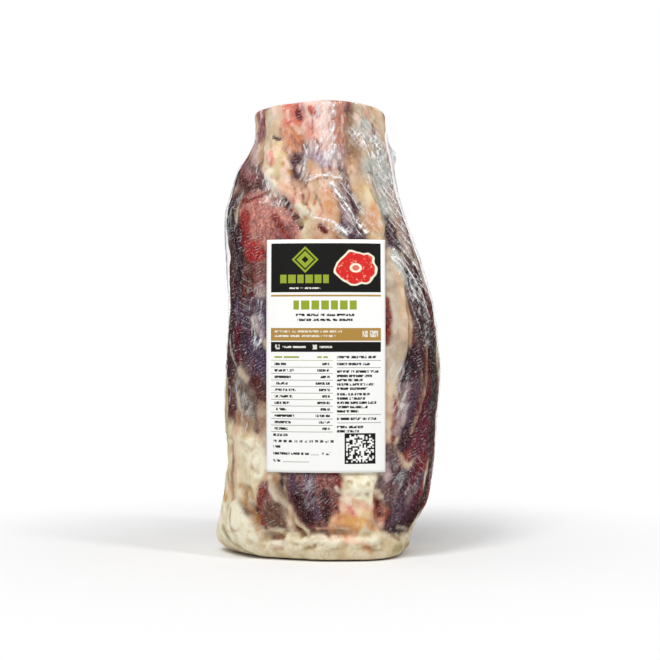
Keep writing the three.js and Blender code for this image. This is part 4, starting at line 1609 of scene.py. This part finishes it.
def milk_and_painted_highlights(tree, lines, crumple, where):
    """How white the film is, from 0 for clear to 1: its milkiness together with its painted highlights."""
    streaks = pattern(tree, 2.6, (1, 1, 4), detail=3, rough=0.6, turned=(0, np.radians(VEIL_LEAN), 0))
    sparkling = total(tree, value_at(tree, "leaning"), value_at(tree, "combed"), PAINTED_SPARKLE)
    dots = step(tree, pattern(tree, 1.0, detail=1), 0.66, 0.75)
    crests = step(tree, value_at(tree, "crest"), 0.4, 0.95)
    # Crest whites and glint dots are painted highlight; veils are part painted highlight, part milkiness.
    kinds = {
        "veil": product(tree, value_at(tree, "veil"), step(tree, streaks, 0.44, 0.6)),
        "crest": product(tree, crests, step(tree, crumple, 0.38, 0.52, 0.12, 1.0)),
        "lines": lines,
        "glint": product(tree, dots, step(tree, where, 0.4, 0.6), sparkling),
    }
    milk = step(tree, where, 0.45, 0.7, 0.0, 0.01)
    milk = total(tree, milk, product(tree, value_at(tree, "free"), step(tree, crumple, 0.4, 0.7, 0.0, 0.05)))
    for name, kind in kinds.items():
        milk = total(tree, milk, product(tree, kind, MILK_AND_HIGHLIGHT_SHARES[name]))
    return math(tree, "MINIMUM", milk, 1.0)


def film_material():
    material, tree = new_material("clear_film")
    crumple = pattern(tree, 2.4, detail=3, rough=0.6)
    where = pattern(tree, 16, (1, 1, 1.6), detail=2)
    gaps = step(tree, pattern(tree, 5, detail=2), 0.42, 0.54)
    lines = product(tree, painted_highlight_lines(tree), gaps, step(tree, where, 0.36, 0.56, 0.3, 1.0))
    normal = bumped(tree, total(tree, product(tree, lines, 0.6), product(tree, crumple, 0.35)), 0.8, 1.1)
    grey = mix(tree, step(tree, value_at(tree, "free"), 0.0, 1.0), (1, 1, 1, 1), FREE_TINT)
    clear = add_node(tree, "ShaderNodeBsdfTransparent", {"Color": grey}).outputs[0]
    milk_sockets = {"Base Color": MILK_COLOUR, "Roughness": MILK_ROUGHNESS}
    milky = add_node(tree, "ShaderNodeBsdfPrincipled", milk_sockets).outputs[0]
    body = blend(tree, milk_and_painted_highlights(tree, lines, crumple, where), clear, milky)
    fresnel = add_node(tree, "ShaderNodeFresnel", {"IOR": FILM_IOR, "Normal": normal}).outputs[0]
    shine = math(tree, "MINIMUM", product(tree, fresnel, SHINE), MOST_SHINE)
    mirror = add_node(tree, "ShaderNodeBsdfGlossy", {"Roughness": MIRROR_ROUGHNESS, "Normal": normal})
    finish_material(tree, blend(tree, shine, body, mirror.outputs[0]))
    return material


film = add_piece("clear_film", film_points, film_faces, film_material())
# The crest value marks where the film is painted white as highlight, round the side and along the top
# pleats.
store(film, "crest", over_caps(crest * bare, 0, CAP_CREST * pleats))
store(film, "free", over_caps(np.clip(free / FREE_FULL, 0, 1), CAP_FREE, CAP_FREE))
store(film, "lean", over_caps((1 - side_paint[..., 3]) * bare, CAP_LEAN, CAP_LEAN))
for name, strength in gathers.items():
    store(film, name, over_caps(strength * bare, 0, 0))
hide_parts("wrapped_shank")

# %% [markdown]
# ## The label
#
# The label is a paper sheet stuck over the film's smooth front. Its print is fields of colour, and bars set
# out in lines. We cut the sheet along every edge of the print, so that each field is made of whole faces,
# and give each face the ink of the last field that covers it. Places are millimetres from the label's top
# left corner.

# %% Print layout
LABEL_WIDE, LABEL_TALL = LABEL_RIGHT - LABEL_LEFT, LABEL_TOP - LABEL_BOTTOM
MARGIN = 2.8
INNER = LABEL_WIDE - MARGIN
TABLE_END, COLUMN_START, COLUMN_WIDE = 40.5, 43, 26.5
BAR_TALL, RULE_TALL = 1.5, 0.4
INKS = ["paper", "black", "ochre", "green", "rule", "text", "band_text", "night_text"]
fields = [  # ink, left, top, right, bottom
    ("black", MARGIN, 2.4, INNER, 32.6), ("ochre", MARGIN, 34.1, INNER, 35.2),
    ("ochre", MARGIN, 54.4, INNER, 62.2), ("black", MARGIN, 62.9, INNER, 69),
    ("green", MARGIN, 74, TABLE_END, 74.3),
]
fields += [("rule", COLUMN_START, top, INNER, top + RULE_TALL) for top in (74, 78.4, 107, 112)]
LINES = [  # ink, left, right, top, height, lengths of the bars as shares, gap between them
    ("green", 8.4, 38, 21.8, 5.2, [1, 1.2, 1, 1.2, 1.1, 0.9], 1),
    ("green", 16.5, 55, 37.6, 5.6, [0.8, 1.2, 1.1, 1.1, 1, 1.1, 1], 1.2),
    ("green", 5, 20, 71.6, 1.1, [2, 4]), ("green", 31, 37.5, 71.6, 1.1, [1, 1]),
    ("night_text", 14, 33, 29.6, 1.0, [3, 4], 0.8), ("night_text", 5.4, 8.2, 64.6, 2.8, [1]),
    ("night_text", 10, 24, 65.4, 1.2, [2, 3]), ("night_text", 28, 30.8, 64.6, 2.8, [1]),
    ("night_text", 32.4, 40, 65.4, 1.2, [1]), ("band_text", 5, 46, 55.9, 1.2, [4, 1, 5, 2, 3]),
    ("band_text", 5, 42, 58.7, 1.2, [3, 2, 4, 3]), ("band_text", 58.5, 68, 56, 4, [1, 1.6], 1.2),
    ("text", 18, 53.5, 45.7, BAR_TALL, [2, 3, 1, 2, 4]), ("text", 19, 52.5, 48.7, BAR_TALL, [3, 4, 1, 3]),
    ("text", 4.2, 13, 119, BAR_TALL, [1]), ("text", 4.2, 41, 122.8, BAR_TALL, [1] * 12, 1.1),
    ("text", 4.2, 8.5, 126.2, BAR_TALL, [1]), ("text", 4.2, 26, 130.4, BAR_TALL, [4, 3, 1]),
    ("text", 34, 39, 130.4, BAR_TALL, [1]), ("text", 4.2, 8.5, 134.8, BAR_TALL, [1]),
    ("rule", 27, 32, 131.6, RULE_TALL, [1]), ("rule", 10, 26, 136, RULE_TALL, [1]),
]
TABLE_TOP, TABLE_ROWS, ROW_STEP = 75.6, 11, 3.95
COLUMN_LINES = [  # top, length as a share of the column
    (71.4, 0.9), (75.6, 0.75), (80.2, 0.95), (82.9, 0.8), (85.4, 0.6), (88, 0.85), (90.6, 0.7), (94, 0.75),
    (96.6, 0.65), (99.2, 0.9), (101.8, 0.7), (104.4, 0.5), (109, 0.9), (114, 0.6), (116.6, 0.5),
]


def bars(ink, left, right, top, tall, lengths, gap=0.9):
    """A line of bars from left to right, with their lengths as shares."""
    whole = sum(lengths)
    room = (right - left) - gap * (len(lengths) - 1)
    at = left
    for share in lengths:
        wide = room * share / whole
        fields.append((ink, at, top, at + wide, top + tall))
        at += wide + gap


for line in LINES:
    bars(*line)
# The table's bars vary in length from row to row, and every fourth row is set in a little.
for row in range(TABLE_ROWS):
    row_top = TABLE_TOP + row * ROW_STEP
    bars("text", 5 + (1 if row % 4 == 3 else 0), 12 + (row * 5 % 7), row_top, BAR_TALL, [1])
    bars("text", 34 - (row * 3 % 5), 38.6, row_top, BAR_TALL, [1, 0.4], 0.5)
    fields.append(("rule", MARGIN, row_top + 2.5, TABLE_END, row_top + 2.5 + RULE_TALL))
for top, share in COLUMN_LINES:
    lengths = [3, 4, 2] if share > 0.7 else [2, 3]
    bars("text", COLUMN_START, COLUMN_START + COLUMN_WIDE * share, top, BAR_TALL, lengths, 0.7)
print(len(fields), "fields and bars")

# %% [markdown]
# In the lower right corner lies a square of random checks with a black frame. It holds no message.

# %% Random checks
CHECKS, CHECK_SHARE = 19, 0.48
CHECK_LEFT, CHECK_TOP, CHECK_SIZE = 47.6, 118.6, 18.8 / CHECKS
checks = np.random.default_rng(7).random((CHECKS, CHECKS)) < CHECK_SHARE
checks[[0, -1], :], checks[:, [0, -1]] = True, True
for row, column in np.argwhere(checks):
    x, y = CHECK_LEFT + column * CHECK_SIZE, CHECK_TOP + row * CHECK_SIZE
    fields.append(("black", x, y, x + CHECK_SIZE, y + CHECK_SIZE))
print(int(checks.sum()), "black checks")

# %% [markdown]
# The sheet follows the film's plain front. Its depth at a place comes straight from the superellipse, and
# it is lifted off along the surface's normal, which is found from the slopes to each side.

# %% Label mesh
LABEL_THICK = 0.4
WIDEST_CELL = 2.5


def front_depth(across, height):
    """The superellipse solved for its depth: front reach (1 - (across / side reach)^n)^(1/n)."""
    side, power = side_of(across, height)
    return read_curve(FRONT_REACH, height) * (1 - np.abs(across / side) ** power) ** (1 / power)


def over_front(across, height, lift):
    """Points over the plain front, lifted along its normal (slope across, 1, slope up)."""
    slope_x = front_depth(across + 0.5, height) - front_depth(across - 0.5, height)
    slope_z = front_depth(across, height + 0.5) - front_depth(across, height - 0.5)
    length = np.sqrt(slope_x**2 + 1 + slope_z**2)
    x, z = across - lift * slope_x / length, height - lift * slope_z / length
    return np.stack([x, -front_depth(across, height) - lift / length, z], -1)


def cut_lines(edges, whole):
    """Sorted, distinct places of all edges, with extra cuts so that no gap is wider than the widest cell."""
    places = np.unique(np.round(np.clip(np.concatenate([edges, [0, whole]]), 0, whole), 3))
    counts = np.maximum(np.ceil(np.diff(places) / WIDEST_CELL), 1).astype(int)
    steps = [np.linspace(a, b, n, endpoint=False) for a, b, n in zip(places, places[1:], counts)]
    return np.append(np.concatenate(steps), whole)


left, top, right, bottom = np.array([field[1:] for field in fields]).T
cuts_x = cut_lines(np.concatenate([left, right]), LABEL_WIDE)
cuts_y = cut_lines(np.concatenate([top, bottom]), LABEL_TALL)
middles = np.meshgrid((cuts_x[1:] + cuts_x[:-1]) / 2, (cuts_y[1:] + cuts_y[:-1]) / 2)
ink_here = np.zeros(middles[0].shape, int)
for ink, x0, y0, x1, y1 in fields:
    covered = (middles[0] > x0) & (middles[0] < x1) & (middles[1] > y0) & (middles[1] < y1)
    ink_here[covered] = INKS.index(ink)
sheet_x, sheet_z = np.meshgrid(LABEL_LEFT + cuts_x, LABEL_TOP - cuts_y)
face_points = over_front(sheet_x, sheet_z, FIT_GAP + LABEL_THICK)
back_points = over_front(sheet_x, sheet_z, FIT_GAP)
label_points = np.concatenate([face_points.reshape(-1, 3), back_points.reshape(-1, 3)]) + STEP
rows, columns = sheet_x.shape
count = rows * columns
j, i = np.meshgrid(np.arange(rows - 1), np.arange(columns - 1), indexing="ij")
corner = (j * columns + i).ravel()
front_faces = np.stack([corner, corner + columns, corner + columns + 1, corner + 1], -1)
rim = np.concatenate([
    np.arange(columns), np.arange(1, rows) * columns + columns - 1,
    np.arange(columns - 2, -1, -1) + (rows - 1) * columns, np.arange(rows - 2, 0, -1) * columns,
])
rim_next = np.roll(rim, -1)
edge_faces = np.stack([rim, rim_next, rim_next + count, rim + count], -1)
label_faces = np.concatenate([front_faces, front_faces[:, ::-1] + count, edge_faces]).tolist()
print(rows, "by", columns, "points on each side of the label")

# %% [markdown]
# Paper has a fine tooth and a satin gloss. Inks differ only in colour, so one function makes them all. The
# black band also carries two plain motifs, drawn by distance in its own material: a diamond, and a slice of
# shank.

# %% Motifs on the black band
INK_COLOURS = {
    "paper": (243, 243, 241), "black": (22, 21, 20), "ochre": (172, 134, 66), "green": (146, 162, 50),
    "rule": (148, 148, 138), "text": (40, 40, 38), "band_text": (226, 222, 212),
    "night_text": (226, 222, 212),
}
DIAMOND_AT, DIAMOND_REACHES = (23.5, 12.4), (8.2, 6.6, 5.4, 2.2)
SLICE_AT, SLICE_FLATNESS, SLICE_WOBBLE = (54.5, 17.5), 0.78, 6
SLICE_RIM, SLICE_RED, BONE_RIM, BONE_HEART = 13.2, 12.2, 2.9, 1.7
SLICE_COLOURS = (0.62, 0.025, 0.02, 1), (0.86, 0.42, 0.34, 1)  # red, and the marbling in it
MOTIF_EDGE = 0.12


def ink_rgba(name):
    return (*linear(INK_COLOURS[name]), 1)


def band_motifs(tree, colour):
    """A green diamond with a black heart on the left, and a red meat slice with a pale bone on the right."""
    object_place = add_node(tree, "ShaderNodeTexCoord").outputs["Object"]
    place = add_node(tree, "ShaderNodeSeparateXYZ", {0: object_place}).outputs

    def offset(x, y):
        dx = math(tree, "SUBTRACT", place[0], (LABEL_LEFT + x + STEP[0]) * MM)
        dz = math(tree, "SUBTRACT", place[2], (LABEL_TOP - y) * MM)
        return math(tree, "ABSOLUTE", dx), math(tree, "ABSOLUTE", dz)

    def within(colour, distance, reach, ink):
        share = step(tree, distance, (reach + MOTIF_EDGE) * MM, (reach - MOTIF_EDGE) * MM)
        return mix(tree, share, colour, ink)

    diamond = total(tree, *offset(*DIAMOND_AT))
    for k, reach in enumerate(DIAMOND_REACHES):
        colour = within(colour, diamond, reach, ink_rgba("black" if k % 2 else "green"))
    dx, dz = offset(*SLICE_AT)
    dx = product(tree, dx, SLICE_FLATNESS)
    oval = math(tree, "SQRT", total(tree, product(tree, dx, dx), product(tree, dz, dz)))
    uneven = total(tree, oval, product(tree, pattern(tree, 9, detail=1), SLICE_WOBBLE * MM))
    marble = step(tree, pattern(tree, 2.2, detail=4, rough=0.7), 0.56, 0.66)
    colour = within(colour, uneven, SLICE_RIM, rgba("white fat"))
    colour = within(colour, uneven, SLICE_RED, mix(tree, marble, *SLICE_COLOURS))
    colour = within(colour, oval, BONE_RIM, rgba("white fat"))
    return within(colour, oval, BONE_HEART, rgba("coral"))


print(len(INK_COLOURS), "inks")

# %% [markdown]
# Bars are broken up by a fine cloud of the ground's own ink, so that they look like lines of small print
# from a step away.

# %% Ink materials
GROUND_INKS = {"text": "paper", "band_text": "ochre", "night_text": "black"}
LETTER_SIZE = 0.9
TOOTH_SHADE, TOOTH_LIFT = 0.94, 0.004  # paper's tooth is this much darker than its crests


def ink_material(name):
    material, tree = new_material("label_" + name)
    tooth = pattern(tree, 0.35, detail=2)
    shade = linear(INK_COLOURS[name])
    colour = mix(tree, step(tree, tooth, 0.3, 0.7), (*shade, 1), (*(shade * TOOTH_SHADE + TOOTH_LIFT), 1))
    if name == "black":
        colour = band_motifs(tree, colour)
    if name in GROUND_INKS:
        letters = pattern(tree, LETTER_SIZE, (1, 1, 2), detail=1)
        colour = mix(tree, step(tree, letters, 0.53, 0.63), colour, ink_rgba(GROUND_INKS[name]))
    finish_principled(tree, colour, 0.42, bumped(tree, tooth, 0.15, 0.05), Specular_IOR_Level=0.1)
    return material


label = add_piece("label_sheet", label_points, label_faces, ink_material("paper"))
for ink in INKS[1:]:
    label.data.materials.append(ink_material(ink))
face_inks = np.concatenate([ink_here.ravel(), np.zeros(len(label.data.polygons) - ink_here.size, int)])
label.data.polygons.foreach_set("material_index", face_inks)
label.data.polygons.foreach_set("use_smooth", np.arange(len(face_inks)) < ink_here.size)
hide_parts("label")

# %% [markdown]
# ## Floor, light and world
#
# The picture has a white ground and soft light. The world is white only right behind the shank, where the
# camera sees it, and dimmer all round, where a white sky would fog the film with its reflection. The floor
# goes to plain white away from the shank. A broad sun lights the front, and two small lamps stand high, so
# that only slopes which face upwards catch them as sharp glints.

# %% Floor
FLOOR_REACH = 9
FLOOR_DROP = 0.4  # millimetres under the shank's base
FLOOR_FADE = (0.1, 0.34)  # metres from the shank over which the floor goes to plain white
FLOOR_COLOUR, WHITE = (0.86, 0.86, 0.86, 1), (1, 1, 1, 1)

floor_mesh = bpy.data.meshes.new("floor")
corners = np.array([(-1, -1, 0), (1, -1, 0), (1, 1, 0), (-1, 1, 0)]) * FLOOR_REACH - (0, 0, FLOOR_DROP * MM)
floor_mesh.from_pydata(corners.tolist(), [], [(0, 1, 2, 3)])
floor = bpy.data.objects.new("floor", floor_mesh)
bpy.context.scene.collection.objects.link(floor)
floor_material, floor_tree = new_material("floor")
floor_place = add_node(floor_tree, "ShaderNodeTexCoord").outputs["Object"]
from_shank = add_node(floor_tree, "ShaderNodeVectorMath", {0: floor_place}, operation="LENGTH")
near_floor = add_node(floor_tree, "ShaderNodeBsdfDiffuse", {"Color": FLOOR_COLOUR}).outputs[0]
far_floor = add_node(floor_tree, "ShaderNodeEmission", {"Color": WHITE}).outputs[0]
far = step(floor_tree, from_shank.outputs["Value"], *FLOOR_FADE)
finish_material(floor_tree, blend(floor_tree, far, near_floor, far_floor))
floor_mesh.materials.append(floor_material)
print("the floor reaches", FLOOR_REACH, "m each way")

# %% [markdown]
# The lamps look at the middle of the shank. The sky's strength rises from dim to white towards the back.

# %% Lamps and world
SUN_FROM = (-0.2, -0.6, 1.0)
SUN_STRENGTH = 1.0
SUN_ANGLE = 40
LAMPS = {  # place in metres, size in metres, watts
    "left glint": ((-0.55, -0.9, 1.6), (0.4, 0.25), 10),
    "right glint": ((0.9, -0.7, 1.3), (0.2, 0.35), 6.5),
}
DIM_SKY, WHITE_SKY = 0.42, 1.0
WHITE_FROM = (0.75, 0.93)  # how far towards +Y the sky goes from dim to white


def aimed(name, kind, at):
    """A lamp at a place, turned to look at the middle of the shank."""
    lamp = bpy.data.objects.new(name, bpy.data.lights.new(name, kind))
    bpy.context.scene.collection.objects.link(lamp)
    lamp.location = at
    lamp.rotation_euler = (Vector((0, 0, HEIGHT * MM / 2)) - Vector(at)).to_track_quat("-Z", "Y").to_euler()
    return lamp


for name, (at, size, watts) in LAMPS.items():
    lamp = aimed(name, "AREA", at).data
    lamp.shape, lamp.size, lamp.size_y, lamp.energy = "RECTANGLE", *size, watts
sun = aimed("sun", "SUN", SUN_FROM).data
sun.energy, sun.angle = SUN_STRENGTH, np.radians(SUN_ANGLE)

world = bpy.data.worlds.new("studio")
world.use_nodes = True
sky = world.node_tree
direction = add_node(sky, "ShaderNodeTexCoord").outputs["Generated"]
behind = add_node(sky, "ShaderNodeSeparateXYZ", {0: direction}).outputs["Y"]
sky.nodes["Background"].inputs["Color"].default_value = WHITE
sky.links.new(step(sky, behind, *WHITE_FROM, DIM_SKY, WHITE_SKY), sky.nodes["Background"].inputs["Strength"])
bpy.context.scene.world = world
bpy.context.scene.view_settings.view_transform = "Standard"
print(len(LAMPS) + 1, "lamps")
